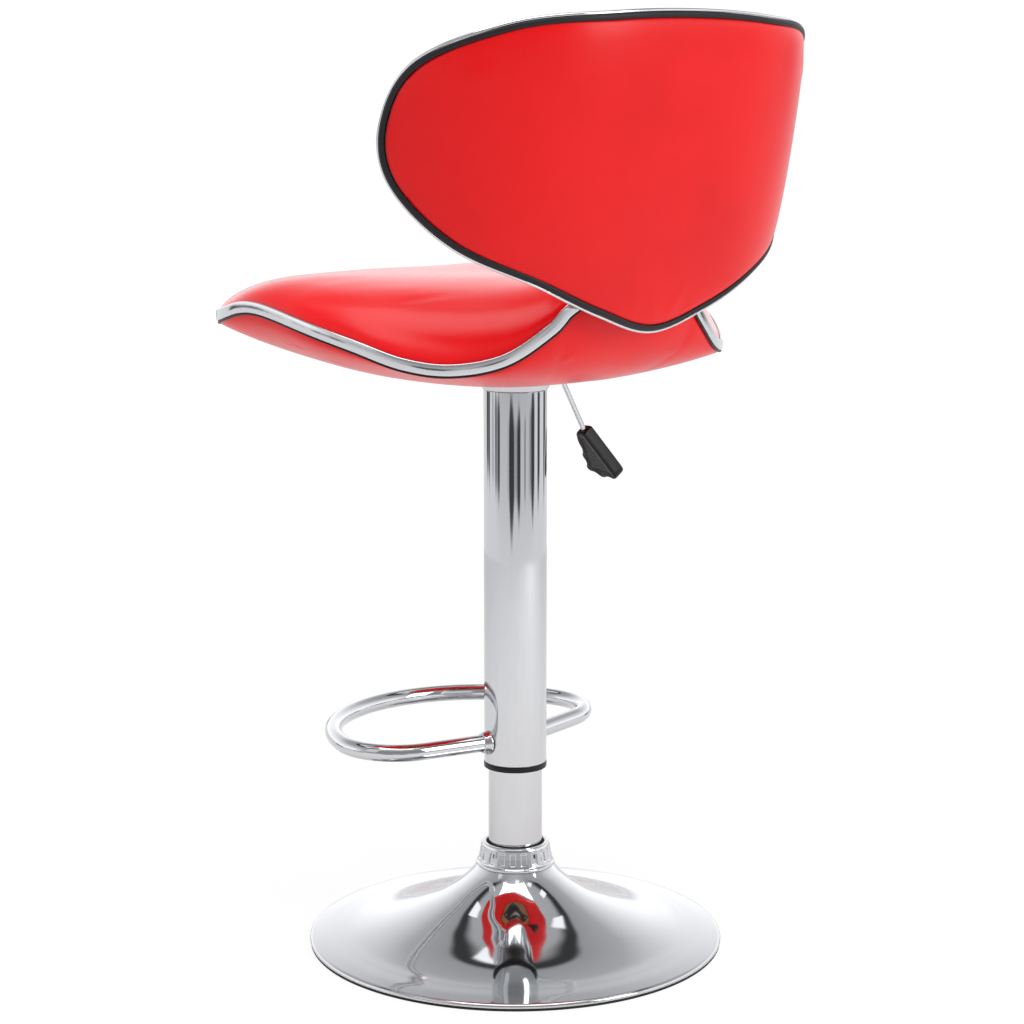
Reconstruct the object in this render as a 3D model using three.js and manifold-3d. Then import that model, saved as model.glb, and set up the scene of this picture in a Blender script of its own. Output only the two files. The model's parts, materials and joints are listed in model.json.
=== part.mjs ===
// Adjustable swivel stool: trumpet base, gas lift column with footrest, saddle seat, wrap-round back.
// Millimetres, +Z up. The origin is where the column's axis meets the floor, and the sitter faces -Y.
import * as THREE from 'three';
import { mergeVertices } from 'three/addons/utils/BufferGeometryUtils.js';
import Module from 'manifold-3d';

const wasm = await Module();
wasm.setup();

// Driving dimensions.
const GAP = 0.3; // between pieces that touch, slide or turn on each other
const ROUND = 24; // sides of a turned piece
const AROUND = 32; // steps round the seat's and the back's rims
const INNER_RINGS = [0.25, 0.47, 0.65, 0.8]; // a pad's inner rings, from its middle (0) to its rim (1)

const base = {
  radius: 193, rimHeight: 6.5, skin: 1.2, neckRadius: 36, neckHeight: 72,
  ringHeight: 2.1, ringInner: 184, plateTop: 5, plateInner: 26,
  flangeRadius: 52, flangeThick: 4, flangeTop: 30, boltCircle: 42, collarTop: 94, collarTopRadius: 32,
  sealRoom: 2,
};
const stand = {
  radius: 25, inner: 23.4, bottom: 1.5, top: 430, bushLength: 80, endPlate: 22, endPlateThick: 3,
};
const cover = { radius: 29, inner: 27.4, bottom: 172, top: 519.5, ringBottom: 166.5, ringLip: 18 };
const gas = {
  radius: 14, inner: 12.6, bottom: 62, top: 541, rod: 5, rodBottom: 10, piston: 292, pistonThick: 12,
};
const bearing = { inner: 6.4, outer: 14, race: 2, cage: 4 };
const hub = { inner: 14.6, outer: 20, bottom: 524, top: 556, plateThick: 3, plateX: 140, plateY: 100 };
const rest = { height: 192, tube: 8, loopRadius: 137.5, loopCentre: 52.5, fillet: 54, sweep: 13 };
const lever = {
  radius: 2.6, height: 549.5, pivot: 31, bendX: 40, dropX: 84.5, dropZ: 475,
  gripAngle: 55, gripThick: 13, gripHole: 20, pinRadius: 1.6, bossRadius: 4.4,
};
const seat = {
  halfWidth: 225, front: 227.2, rear: 164, widest: 40, frontPower: 3.5, rearPower: 1.95,
  underside: 526, bowl: 0.0007, cushionMid: 590, crown: 40, dish: 10,
  boardMid: 565.5, boardThick: 10, boardReach: 0.9, opening: 90, trimThick: 3, trimHigh: 10, pipe: 1.7,
};
const back = {
  centreZ: 735, wrapWidth: 215, depthAt730: 208.6, lean: 19.3, leanCurve: 2.1, wrap2: 14.5, wrap4: 78.9,
  trimThick: 2.5, trimDeep: 13, band: 4.8, bandHigh: 1.2, panelCrown: 5, board: 6, edgeDeep: 13,
  padCrown: 32, padLow: 615, padHigh: 720,
};

// Finishes.
const chrome = new THREE.MeshStandardMaterial({ color: 0xe8e9ea, roughness: 0.06, metalness: 1 });
const steel = new THREE.MeshStandardMaterial({ color: 0x9a9da0, roughness: 0.4, metalness: 1 });
const blackPaint = new THREE.MeshStandardMaterial({ color: 0x1c1c1e, roughness: 0.5, metalness: 0.2 });
const blackPlastic = new THREE.MeshStandardMaterial({ color: 0x202022, roughness: 0.45, metalness: 0 });
const rubber = new THREE.MeshStandardMaterial({ color: 0x18181a, roughness: 0.85, metalness: 0 });
const redLeather = new THREE.MeshStandardMaterial({ color: 0xd81c1c, roughness: 0.5, metalness: 0 });
const plywood = new THREE.MeshStandardMaterial({ color: 0xb98d5a, roughness: 0.8, metalness: 0 });

// Closed meshes and booleans.

function signedVolume(position, index) {
  const a = new THREE.Vector3();
  const b = new THREE.Vector3();
  const c = new THREE.Vector3();
  let sum = 0;
  for (let i = 0; i < index.length; i += 3) {
    a.fromBufferAttribute(position, index[i]);
    b.fromBufferAttribute(position, index[i + 1]);
    c.fromBufferAttribute(position, index[i + 2]);
    sum += a.dot(b.cross(c)) / 6;
  }
  return sum;
}

// Shared corners merged, collapsed triangles dropped, and the faces turned outwards.
function closed(geometry) {
  const bare = geometry.clone();
  for (const name of ['normal', 'uv']) bare.deleteAttribute(name);
  const merged = mergeVertices(bare, 1e-4);
  const old = merged.index.array;
  const kept = [];
  for (let i = 0; i < old.length; i += 3) {
    const [p, q, r] = [old[i], old[i + 1], old[i + 2]];
    if (p !== q && q !== r && p !== r) kept.push(p, q, r);
  }
  if (signedVolume(merged.attributes.position, kept) < 0) kept.reverse();
  merged.setIndex(kept);
  return merged;
}

function toSolid(geometry) {
  const ready = closed(geometry);
  const vertProperties = new Float32Array(ready.attributes.position.array);
  const triVerts = new Uint32Array(ready.index.array);
  return new wasm.Manifold(new wasm.Mesh({ numProp: 3, vertProperties, triVerts }));
}

function fromSolid(solid) {
  const mesh = solid.getMesh();
  const geometry = new THREE.BufferGeometry();
  geometry.setAttribute('position', new THREE.BufferAttribute(new Float32Array(mesh.vertProperties), 3));
  geometry.setIndex(Array.from(mesh.triVerts));
  return geometry;
}

function cut(geometry, tools) {
  return fromSolid(tools.reduce((solid, tool) => solid.subtract(toSolid(tool)), toSolid(geometry)));
}

function join(geometries) {
  return fromSolid(geometries.map(toSolid).reduce((whole, next) => whole.add(next)));
}

// A turned piece: [radius, height] pairs go once round its section.
function turned(profile, sides = ROUND) {
  const loop = profile.map(([r, z]) => new THREE.Vector2(r, z));
  const onAxis = profile[0][0] === 0 && profile[profile.length - 1][0] === 0;
  if (!onAxis) loop.push(loop[0].clone());
  return closed(new THREE.LatheGeometry(loop, sides).rotateX(Math.PI / 2));
}

function tube(inner, outer, low, high, sides = ROUND) {
  return turned([[inner, low], [outer, low], [outer, high], [inner, high]], sides);
}

function disc(radius, low, high, sides = ROUND) {
  return turned([[0, low], [radius, low], [radius, high], [0, high]], sides);
}

function box(sizeX, sizeY, sizeZ, x, y, z) {
  return closed(new THREE.BoxGeometry(sizeX, sizeY, sizeZ).translate(x, y, z));
}

// A cylinder from one point to another.
function bar(radius, from, to, sides = 16) {
  const along = to.clone().sub(from);
  const axis = along.clone().normalize();
  const turn = new THREE.Quaternion().setFromUnitVectors(new THREE.Vector3(0, 1, 0), axis);
  const shape = new THREE.CylinderGeometry(radius, radius, along.length(), sides);
  const middle = from.clone().add(to).multiplyScalar(0.5);
  return closed(shape.applyQuaternion(turn).translate(middle.x, middle.y, middle.z));
}

// A round bar along a curve.
function pipe(curve, radius, steps, sides) {
  const section = new THREE.Shape();
  for (let i = 0; i < sides; i++) {
    const a = (i / sides) * 2 * Math.PI;
    if (i === 0) section.moveTo(radius, 0);
    else section.lineTo(radius * Math.cos(a), radius * Math.sin(a));
  }
  return closed(new THREE.ExtrudeGeometry(section, { steps, bevelEnabled: false, extrudePath: curve }));
}

// Rims and skins.

// A closed band whose sections, all with the same number of points, follow each other round a rim.
function band(sections) {
  const count = sections[0].length;
  const positions = sections.flat().flatMap((p) => [p.x, p.y, p.z]);
  const index = [];
  for (let i = 0; i < sections.length; i++) {
    const next = (i + 1) % sections.length;
    for (let j = 0; j < count; j++) {
      const side = (j + 1) % count;
      const [a, b, c, d] = [i * count + j, next * count + j, next * count + side, i * count + side];
      index.push(a, b, c, a, c, d);
    }
  }
  const geometry = new THREE.BufferGeometry();
  geometry.setAttribute('position', new THREE.Float32BufferAttribute(positions, 3));
  geometry.setIndex(index);
  return closed(geometry);
}

// A solid between two skins over one rim. Each skin is a function of (reach, step): the reach goes from
// 0 at the middle to 1 at the rim, and reaches(step) lists the rings' places on the way.
function pad(upper, lower, reaches) {
  const positions = [];
  const index = [];
  const add = (p) => positions.push(p.x, p.y, p.z) / 3 - 1;
  const top = add(upper(0, 0));
  const bottom = add(lower(0, 0));
  const columns = [];
  for (let i = 0; i < AROUND; i++) {
    const list = reaches(i);
    const back = [...list].reverse();
    columns.push([top, ...list.map((r) => add(upper(r, i))), ...back.map((r) => add(lower(r, i))), bottom]);
  }
  // Both skins are split along the same diagonals, so that the skins of two layers stay parallel.
  columns.forEach((column, i) => {
    const other = columns[(i + 1) % AROUND];
    for (let j = 0; j + 1 < column.length; j++) {
      const [a, b, c, d] = [column[j], other[j], other[j + 1], column[j + 1]];
      if (j + 1 < column.length / 2) index.push(a, b, c, a, c, d);
      else index.push(a, b, d, b, c, d);
    }
  });
  const geometry = new THREE.BufferGeometry();
  geometry.setAttribute('position', new THREE.Float32BufferAttribute(positions, 3));
  geometry.setIndex(index);
  return closed(geometry);
}

// Base.

// The trumpet's steps: steep at the neck, then ever flatter out to the rim.
const bellCurve = [
  [base.neckRadius, base.neckHeight], [42, 64], [50, 56], [60, 48.3], [75, 38.9], [93, 30.4], [110, 23.7],
  [130, 17], [150, 12.1], [165, 9.9], [178, 8.3], [base.radius - 3, base.rimHeight],
];

function baseBell() {
  const curve = new THREE.SplineCurve(bellCurve.map(([r, z]) => new THREE.Vector2(r, z)));
  const steps = bellCurve.length - 1;
  const outer = curve.getPoints(steps);
  const inner = outer.map((p, i) => {
    const along = curve.getTangent(i / steps);
    return [p.x + along.y * base.skin, p.y - along.x * base.skin];
  });
  const lip = base.ringHeight + GAP;
  inner[inner.length - 1] = [base.radius - 3, base.rimHeight - base.skin];
  const rim = [[base.radius, base.rimHeight - 2.2], [base.radius, lip], [base.radius - base.skin, lip]];
  return turned([...outer.map((p) => [p.x, p.y]), ...rim, ...inner.reverse()], 32);
}

function onCircle(radius, angle) {
  return new THREE.Vector2(radius * Math.cos(angle), radius * Math.sin(angle));
}

function boltPlaces(circle, count, phase) {
  return Array.from({ length: count }, (_, i) => onCircle(circle, phase + (i / count) * 2 * Math.PI));
}

const flangeBolts = boltPlaces(base.boltCircle, 4, Math.PI / 4);

function boltHoles(places, radius, low, high) {
  return places.map(({ x, y }) => {
    return bar(radius, new THREE.Vector3(x, y, low), new THREE.Vector3(x, y, high), 12);
  });
}

function flangeBolt(place) {
  const top = base.plateTop + GAP + base.flangeThick + GAP;
  const shank = disc(2.7, base.plateTop - 3.5, top + 1, 12);
  const head = disc(5.5, top, top + 4, 6);
  return join([shank, head]).translate(place.x, place.y, 0);
}

function ballastPlate() {
  const plate = tube(base.plateInner, base.ringInner - 0.5, 1, base.plateTop, 32);
  return cut(plate, boltHoles(flangeBolts, 3, 0, 10));
}

function tubeFlange() {
  const low = base.plateTop + GAP;
  const inner = stand.radius + GAP;
  const flange = turned([
    [inner, low], [base.flangeRadius, low], [base.flangeRadius, low + base.flangeThick],
    [inner + 3, low + base.flangeThick], [inner + 3, base.flangeTop], [inner, base.flangeTop],
  ]);
  return cut(flange, boltHoles(flangeBolts, 3, 0, 20));
}

function baseCollar() {
  const inner = stand.radius + GAP;
  const low = base.neckHeight + GAP;
  const rim = base.neckRadius + 0.6;
  return turned([
    [inner, low], [rim, low], [rim, low + 2.4], [rim - 1.6, low + 4], [rim - 3.2, low + 12],
    [base.collarTopRadius, base.collarTop - 2], [base.collarTopRadius - 1, base.collarTop],
    [inner + base.sealRoom, base.collarTop], [inner + base.sealRoom, base.collarTop - 3],
    [inner, base.collarTop - 3],
  ]);
}

// Column.

function guideBush() {
  const inner = gas.radius + GAP;
  const outer = stand.inner - GAP;
  return turned([
    [inner, stand.top - stand.bushLength], [outer, stand.top - stand.bushLength], [outer, stand.top + GAP],
    [stand.radius, stand.top + GAP], [stand.radius, stand.top + 3], [inner, stand.top + 3],
  ]);
}

function coverRing() {
  const inner = stand.radius + GAP;
  const plug = cover.inner - GAP;
  return turned([
    [inner, cover.ringBottom], [cover.radius + 0.2, cover.ringBottom],
    [cover.radius + 0.2, cover.bottom - GAP], [plug, cover.bottom - GAP],
    [plug, cover.bottom + cover.ringLip], [inner, cover.bottom + cover.ringLip],
  ]);
}

function topCollar() {
  const low = cover.top + GAP;
  const inner = hub.outer + GAP;
  return turned([
    [inner, low + 4.5], [inner, low + 2.5], [cover.inner, low + 2.5], [cover.inner, low],
    [cover.radius + 0.8, low], [cover.radius + 5.5, low + 9], [cover.radius + 4, low + 9],
    [cover.radius, low + 4.5],
  ]);
}

function gasCylinder() {
  return turned([
    [gas.inner, gas.bottom], [gas.radius, gas.bottom], [gas.radius, gas.top - 36],
    [gas.radius - 0.6, gas.top], [2.4, gas.top], [2.4, gas.top - 14], [gas.inner, gas.top - 18],
  ]);
}

const race1 = stand.endPlate + stand.endPlateThick + GAP;
const cageLow = race1 + bearing.race + GAP;
const race2 = cageLow + bearing.cage + GAP;
const rubberLow = race2 + bearing.race + GAP;

// Balls held in one ring: a thin plate with a ball bulging from both faces at each place.
function bearingCage() {
  const middle = cageLow + bearing.cage / 2;
  const plate = tube(bearing.inner + 1, bearing.outer - 0.8, middle - 0.6, middle + 0.6, 24);
  const circle = (bearing.inner + bearing.outer) / 2;
  const balls = boltPlaces(circle, 6, 0).map(({ x, y }) => {
    return closed(new THREE.SphereGeometry(bearing.cage / 2, 8, 5).translate(x, y, middle));
  });
  return join([plate, ...balls]);
}

// Footrest.

// Two straight arms run out from the column; fillets join them to a round loop in front of the shins.
function footrestCurve() {
  const sweep = THREE.MathUtils.degToRad(rest.sweep);
  const along = new THREE.Vector2(Math.cos(sweep), Math.sin(sweep));
  const across = new THREE.Vector2(-Math.sin(sweep), Math.cos(sweep));
  const toCentre = across.clone().multiplyScalar(rest.fillet).sub(new THREE.Vector2(0, rest.loopCentre));
  const b = toCentre.dot(along);
  const reach = -b + Math.sqrt(b * b - toCentre.lengthSq() + (rest.loopRadius - rest.fillet) ** 2);
  const centre = along.clone().multiplyScalar(reach).add(across.clone().multiplyScalar(rest.fillet));
  const start = along.clone().multiplyScalar(reach).sub(centre).angle();
  const end = centre.clone().sub(new THREE.Vector2(0, rest.loopCentre)).angle();
  const half = [along.clone().multiplyScalar(cover.radius + GAP)];
  for (let i = 0; i <= 5; i++) {
    const a = start - 2 * Math.PI + ((end - start + 2 * Math.PI) * i) / 5;
    half.push(onCircle(rest.fillet, a).add(centre));
  }
  for (let i = 1; i <= 6; i++) {
    const a = end + ((Math.PI / 2 - end) * i) / 6;
    half.push(new THREE.Vector2(0, rest.loopCentre).add(onCircle(rest.loopRadius, a)));
  }
  const other = half.slice(0, -1).reverse().map((p) => new THREE.Vector2(-p.x, p.y));
  const points = [...half, ...other].map((p) => new THREE.Vector3(p.x, -p.y, rest.height));
  return new THREE.CatmullRomCurve3(points, false, 'centripetal');
}

function footrestCollar(side) {
  const sweep = THREE.MathUtils.degToRad(rest.sweep);
  const along = new THREE.Vector3(side * Math.cos(sweep), -Math.sin(sweep), 0);
  const ring = tube(rest.tube + GAP, rest.tube + 2.2, 0, 6, 20);
  const turn = new THREE.Quaternion().setFromUnitVectors(new THREE.Vector3(0, 0, 1), along);
  const at = along.clone().multiplyScalar(cover.radius + GAP + 0.1);
  return ring.applyQuaternion(turn).translate(at.x, at.y, rest.height);
}

// Seat mounting and lever.

const plateBolts = [[-56, -36], [56, -36], [56, 36], [-56, 36]].map(([x, y]) => new THREE.Vector2(x, y));

function seatPlate() {
  const plate = box(hub.plateX, hub.plateY, hub.plateThick, 0, 0, hub.top + hub.plateThick / 2);
  const socket = tube(hub.inner, hub.outer, hub.bottom, hub.top + 0.5);
  const slot = box(16, 10, hub.top - gas.top - 1, -hub.outer + 2, 0, (hub.top + gas.top) / 2 + 0.4);
  return cut(join([plate, socket]), [slot, ...boltHoles(plateBolts, 3.4, hub.top - 1, hub.top + 4)]);
}

function plateBolt(place) {
  const head = disc(6, hub.top - 4 - GAP, hub.top - GAP, 6);
  const shank = disc(3, hub.top - 1, hub.top + hub.plateThick + 9, 12);
  return join([head, shank]).translate(place.x, place.y, 0);
}

function leverBracket() {
  const high = hub.top - GAP;
  const web = box(12, 13.4, 1.2, -lever.pivot, 0, high - 0.6);
  const ears = [-1, 1].map((side) => box(12, 2.5, 13, -lever.pivot, side * 5.45, high - 6.5));
  return cut(join([web, ...ears]), [pivotBar(lever.pinRadius + GAP, 20)]);
}

function pivotBar(radius, length, sides = 16) {
  const from = new THREE.Vector3(-lever.pivot, -length / 2, lever.height);
  const to = new THREE.Vector3(-lever.pivot, length / 2, lever.height);
  return bar(radius, from, to, sides);
}

const leverEnd = new THREE.Vector3(-lever.dropX, 0, lever.dropZ);
const leverBend = new THREE.Vector3(-lever.bendX - 5, 0, lever.height - 4.5);
const leverDown = leverEnd.clone().sub(leverBend).normalize();
const gripAngle = THREE.MathUtils.degToRad(lever.gripAngle);
const gripDown = new THREE.Vector3(-Math.cos(gripAngle), 0, -Math.sin(gripAngle));

function leverRod() {
  const inside = leverEnd.clone().addScaledVector(leverDown, lever.gripHole);
  const curve = new THREE.CatmullRomCurve3([
    new THREE.Vector3(3, 0, lever.height), new THREE.Vector3(-lever.pivot, 0, lever.height),
    new THREE.Vector3(-lever.bendX + 2, 0, lever.height - 0.2), leverBend, leverEnd, inside,
  ], false, 'centripetal');
  const rod = pipe(curve, lever.radius, 18, 8);
  return cut(join([rod, pivotBar(lever.bossRadius, 7.2, 20)]), [pivotBar(lever.pinRadius + GAP, 12)]);
}

// A flat grip: [along, across] points of its straight edge, its end and its waved edge, each wave bent
// through the point before it.
const gripStart = [[0, -5.5], [0, 5.5], [48, 18]];
const gripWaves = [
  [[55, 19.5], [56, 12]], [[52, 7], [55, 2]], [[57, -2], [54, -6]], [[49, -9], [50, -14]],
  [[49, -19], [44, -18.5]], [[38, -13], [34, -15]], [[28, -16.5], [26, -12.5]], [[20, -9], [16, -10.5]],
  [[8, -10], [0, -5.5]],
];

function leverGrip() {
  const shape = new THREE.Shape();
  gripStart.forEach(([x, y], i) => (i === 0 ? shape.moveTo(x, y) : shape.lineTo(x, y)));
  gripWaves.forEach(([bend, end]) => shape.quadraticCurveTo(...bend, ...end));
  const extrusion = { depth: lever.gripThick, bevelEnabled: false, curveSegments: 4 };
  const grip = new THREE.ExtrudeGeometry(shape, extrusion);
  const across = new THREE.Vector3(0, 1, 0);
  const up = gripDown.clone().cross(across);
  const frame = new THREE.Matrix4().makeBasis(gripDown, across, up);
  grip.translate(0, 0, -lever.gripThick / 2).applyMatrix4(frame);
  grip.translate(leverEnd.x, leverEnd.y, leverEnd.z);
  const hole = bar(lever.radius + GAP, leverEnd.clone().addScaledVector(leverDown, -2),
    leverEnd.clone().addScaledVector(leverDown, lever.gripHole + GAP), 12);
  return cut(grip, [hole]);
}

// Seat.

// The rim in plan is two half superellipses that meet at the widest line.
function seatPlan() {
  const points = [];
  const steps = 720;
  for (let i = 0; i < steps; i++) {
    const a = (i / steps) * 2 * Math.PI;
    const front = Math.cos(a) > 0;
    const power = 2 / (front ? seat.frontPower : seat.rearPower);
    const length = front ? seat.front - seat.widest : seat.rear + seat.widest;
    const x = seat.halfWidth * Math.sign(Math.sin(a)) * Math.abs(Math.sin(a)) ** power;
    const y = -seat.widest - Math.sign(Math.cos(a)) * length * Math.abs(Math.cos(a)) ** power;
    points.push(new THREE.Vector3(x, y, 0));
  }
  const lengths = [0];
  for (let i = 1; i <= steps; i++) {
    lengths.push(lengths[i - 1] + points[i % steps].distanceTo(points[i - 1]));
  }
  const spaced = [];
  let j = 0;
  for (let i = 0; i < AROUND; i++) {
    const want = (lengths[steps] * i) / AROUND;
    while (lengths[j + 1] < want) j++;
    const t = (want - lengths[j]) / (lengths[j + 1] - lengths[j]);
    spaced.push(points[j].clone().lerp(points[(j + 1) % steps], t));
  }
  return spaced;
}

// The rim's height by its bearing from the front: up at the thighs, down at the hips, up to the back.
const rimHeights = new THREE.SplineCurve([
  [-35, 579], [0, 574], [35, 579], [50, 583], [62, 590], [72, 599], [79, 600.5], [87, 596.5],
  [96, 589.5], [109, 576.5], [121, 562], [132, 557.5], [144, 566], [155, 591], [161, 610], [180, 640],
  [199, 610],
].map(([bearing, height]) => new THREE.Vector2(bearing, height)));

function rimHeight(point) {
  const bearing = THREE.MathUtils.radToDeg(Math.atan2(Math.abs(point.x), -(point.y + seat.widest)));
  let low = 0;
  let high = 1;
  for (let i = 0; i < 40; i++) {
    const middle = (low + high) / 2;
    if (rimHeights.getPoint(middle).x < bearing) low = middle;
    else high = middle;
  }
  return rimHeights.getPoint(low).y;
}

const seatRim = seatPlan().map((p) => new THREE.Vector3(p.x, p.y, rimHeight(p)));

function seatPoint(reach, step, height) {
  const rim = seatRim[step % AROUND];
  const point = new THREE.Vector3(rim.x * reach, -20 + (rim.y + 20) * reach, 0);
  point.z = height(point, rim.z);
  return point;
}

// Half of the fixing board's room, closing to the seam between the two skins past the board's edge.
function seam(reach) {
  return reach <= seat.boardReach + 0.01 ? seat.boardThick / 2 + GAP : GAP / 2;
}

function boardHeight(reach, rimZ) {
  return seat.boardMid + (rimZ - seat.boardMid) * reach ** 4;
}

function cushionTop(reach, step) {
  return seatPoint(reach, step, (_, rimZ) => {
    const lifted = seat.cushionMid + (rimZ + 6 - seat.cushionMid) * reach ** 4;
    return lifted + seat.crown * (1 - reach ** 5) ** 0.75 - seat.dish * (1 - reach ** 2) ** 2;
  });
}

function shellBottom(reach, step) {
  return seatPoint(reach, step, (point, rimZ) => {
    const rim = seatRim[step % AROUND];
    const bowl = seat.underside + seat.bowl * (point.x ** 2 + point.y ** 2);
    const edge = seat.underside + seat.bowl * (rim.x ** 2 + rim.y ** 2);
    return bowl + (rimZ - 7 - edge) * (1 - Math.sqrt(1 - reach ** 6));
  });
}

function seatLayer(reach, step, offset) {
  return seatPoint(reach, step, (_, rimZ) => boardHeight(reach, rimZ) + offset);
}

const boardRings = [...INNER_RINGS, seat.boardReach];
const seatRings = [...boardRings, seat.boardReach + 0.02, 0.985, 1];

function seatCushion() {
  return pad(cushionTop, (r, i) => seatLayer(r, i, seam(r)), () => seatRings);
}

function seatBoard() {
  const half = seat.boardThick / 2;
  const board = pad((r, i) => seatLayer(r, i, half), (r, i) => seatLayer(r, i, -half), () => boardRings);
  return cut(board, boltHoles(plateBolts, 3.4, 540, hub.top + hub.plateThick + 9 + GAP));
}

function seatShell() {
  const shell = pad((r, i) => seatLayer(r, i, -seam(r)), shellBottom, () => seatRings);
  return cut(shell, [disc(seat.opening, seat.underside - 10, seat.boardMid)]);
}

// A strip of the given section that follows the seat's rim; the section is [outwards, upwards] pairs.
function seatStrip(section) {
  return band(seatRim.map((point, i) => {
    const before = seatRim[(i + AROUND - 1) % AROUND];
    const after = seatRim[(i + 1) % AROUND];
    const along = after.clone().sub(before).normalize();
    const out = new THREE.Vector3(along.y, -along.x, 0).normalize();
    const up = out.clone().cross(along).normalize();
    const sign = Math.sign(up.z);
    return section.map(([o, u]) => {
      return point.clone().addScaledVector(out, sign * o).addScaledVector(up, sign * u);
    });
  }));
}

// Back.

// The rear edge surface: y by x and z. The back wraps forward at its wings and leans away at its top.
function backDepth(x, z) {
  const h = (z - 730) / 100;
  const w = x / back.wrapWidth;
  const leaned = back.depthAt730 + back.lean * h - back.leanCurve * h ** 2;
  return leaned - back.wrap2 * w ** 2 - back.wrap4 * w ** 4;
}

function backNormal(x, z) {
  const d = 0.5;
  const slopeX = (backDepth(x + d, z) - backDepth(x - d, z)) / (2 * d);
  const slopeZ = (backDepth(x, z + d) - backDepth(x, z - d)) / (2 * d);
  return new THREE.Vector3(-slopeX, 1, -slopeZ).normalize();
}

function backOutline() {
  const half = [
    [0, 586], [63, 603], [123, 629], [187, 662], [221, 711], [228, 762], [215, 810], [170, 837],
    [85, 847], [0, 850],
  ];
  const left = half.slice(1, -1).reverse().map(([x, z]) => [-x, z]);
  const points = [...half, ...left].map(([x, z]) => new THREE.Vector3(x, 0, z));
  return new THREE.CatmullRomCurve3(points, true, 'centripetal').getSpacedPoints(AROUND).slice(0, AROUND);
}

const backRim = backOutline();

function backPoint(reach, step, offset) {
  const rim = backRim[step % AROUND];
  const x = rim.x * reach;
  const z = back.centreZ + (rim.z - back.centreZ) * reach;
  const surface = new THREE.Vector3(x, backDepth(x, z), z);
  return surface.addScaledVector(backNormal(x, z), typeof offset === 'function' ? offset(z) : offset);
}

// The reach that lies the given distance inside the rim, measured square to the rim.
function inset(step, distance) {
  const rim = backRim[step % AROUND];
  const before = backRim[(step + AROUND - 1) % AROUND];
  const along = backRim[(step + 1) % AROUND].clone().sub(before).normalize();
  const square = Math.abs(rim.x * along.z - (rim.z - back.centreZ) * along.x);
  return 1 - distance / square;
}

function padFront(reach) {
  return (z) => {
    const rise = THREE.MathUtils.smoothstep(z, back.padLow, back.padHigh);
    return -back.edgeDeep - back.padCrown * Math.sqrt(Math.max(0, 1 - reach ** 4)) * rise;
  };
}

const boardRear = -3.3;
const boardFront = boardRear - back.board;

function backRings(distance) {
  return (step) => [...INNER_RINGS, 0.9, inset(step, distance)];
}

function backSkin(offset) {
  return (reach, step) => backPoint(reach, step, offset);
}

function backPanel() {
  const edge = back.band + 1.2;
  const rear = (reach, step) => {
    const share = reach / inset(step, edge);
    return backPoint(reach, step, 1 + back.panelCrown * Math.sqrt(Math.max(0, 1 - share ** 4)));
  };
  return pad(rear, backSkin(boardRear + 4 * GAP), backRings(edge));
}

function backBoard() {
  return cut(pad(backSkin(boardRear), backSkin(boardFront), backRings(9)), backBoltHoles());
}

function backPad() {
  const front = (reach, step) => backPoint(reach, step, padFront(reach));
  return cut(pad(backSkin(boardFront - 4 * GAP), front, backRings(GAP)), backBoltHoles());
}

// A strip round the back's rim; the section is [outwards, rearwards] pairs.
function backStrip(section) {
  return band(backRim.map((rim, i) => {
    const edge = backPoint(1, i, 0);
    const normal = backNormal(rim.x, rim.z);
    const along = backPoint(1, i + 1, 0).sub(backPoint(1, i + AROUND - 1, 0));
    const out = along.cross(normal).normalize();
    const sign = Math.sign(out.dot(new THREE.Vector3(rim.x, 0, rim.z - back.centreZ)));
    return section.map(([o, n]) => {
      return edge.clone().addScaledVector(out, sign * o).addScaledVector(normal, n);
    });
  }));
}

// Two bolts hold the back to the seat's raised rear.
const backBolts = [-1, 1].map((side) => ({
  from: new THREE.Vector3(side * 32, 126, 598),
  to: new THREE.Vector3(side * 32, 173, 606),
}));

function backBoltHoles(radius = 3.3) {
  return backBolts.map(({ from, to }) => {
    const along = to.clone().sub(from).normalize();
    return bar(radius, from.clone().addScaledVector(along, -1), to.clone().addScaledVector(along, GAP), 12);
  });
}

function backBolt({ from, to }) {
  return bar(3, from, to, 12);
}

// Assembly.
const stool = new THREE.Group();

function place(name, geometry, material) {
  const mesh = new THREE.Mesh(closed(geometry), material);
  mesh.name = name;
  stool.add(mesh);
}

place('floor_ring', tube(base.ringInner, base.radius - 0.5, 0, base.ringHeight, 32), rubber);
place('base_bell', baseBell(), chrome);
place('ballast_plate', ballastPlate(), steel);
place('tube_flange', tubeFlange(), steel);
flangeBolts.forEach((spot, i) => place(`flange_bolt_${i + 1}`, flangeBolt(spot), steel));
place('base_collar', baseCollar(), chrome);

place('stand_tube', tube(stand.inner, stand.radius, stand.bottom, stand.top), chrome);
place('tube_end_plate', tube(gas.rod + 0.6, stand.inner - GAP, stand.endPlate, race1 - GAP), steel);
place('guide_bush', guideBush(), blackPlastic);
place('bearing_lower_race', tube(bearing.inner, bearing.outer, race1, race1 + bearing.race, 24), steel);
place('bearing_cage', bearingCage(), steel);
place('bearing_upper_race', tube(gas.rod + GAP, bearing.outer, race2, race2 + bearing.race, 24), steel);
place('piston_rod', disc(gas.rod, gas.rodBottom, gas.piston - GAP, 20), chrome);
place('rod_washer', tube(gas.rod + GAP, 12, stand.endPlate - 2.3, stand.endPlate - GAP, 20), steel);
place('rod_clip', tube(gas.rod + GAP, 9, stand.endPlate - 4.2, stand.endPlate - 2.6, 16), steel);
place('bump_rubber', tube(gas.rod + GAP, 12, rubberLow, rubberLow + 12, 20), rubber);
place('piston', disc(gas.inner - GAP, gas.piston, gas.piston + gas.pistonThick, 24), steel);

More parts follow.
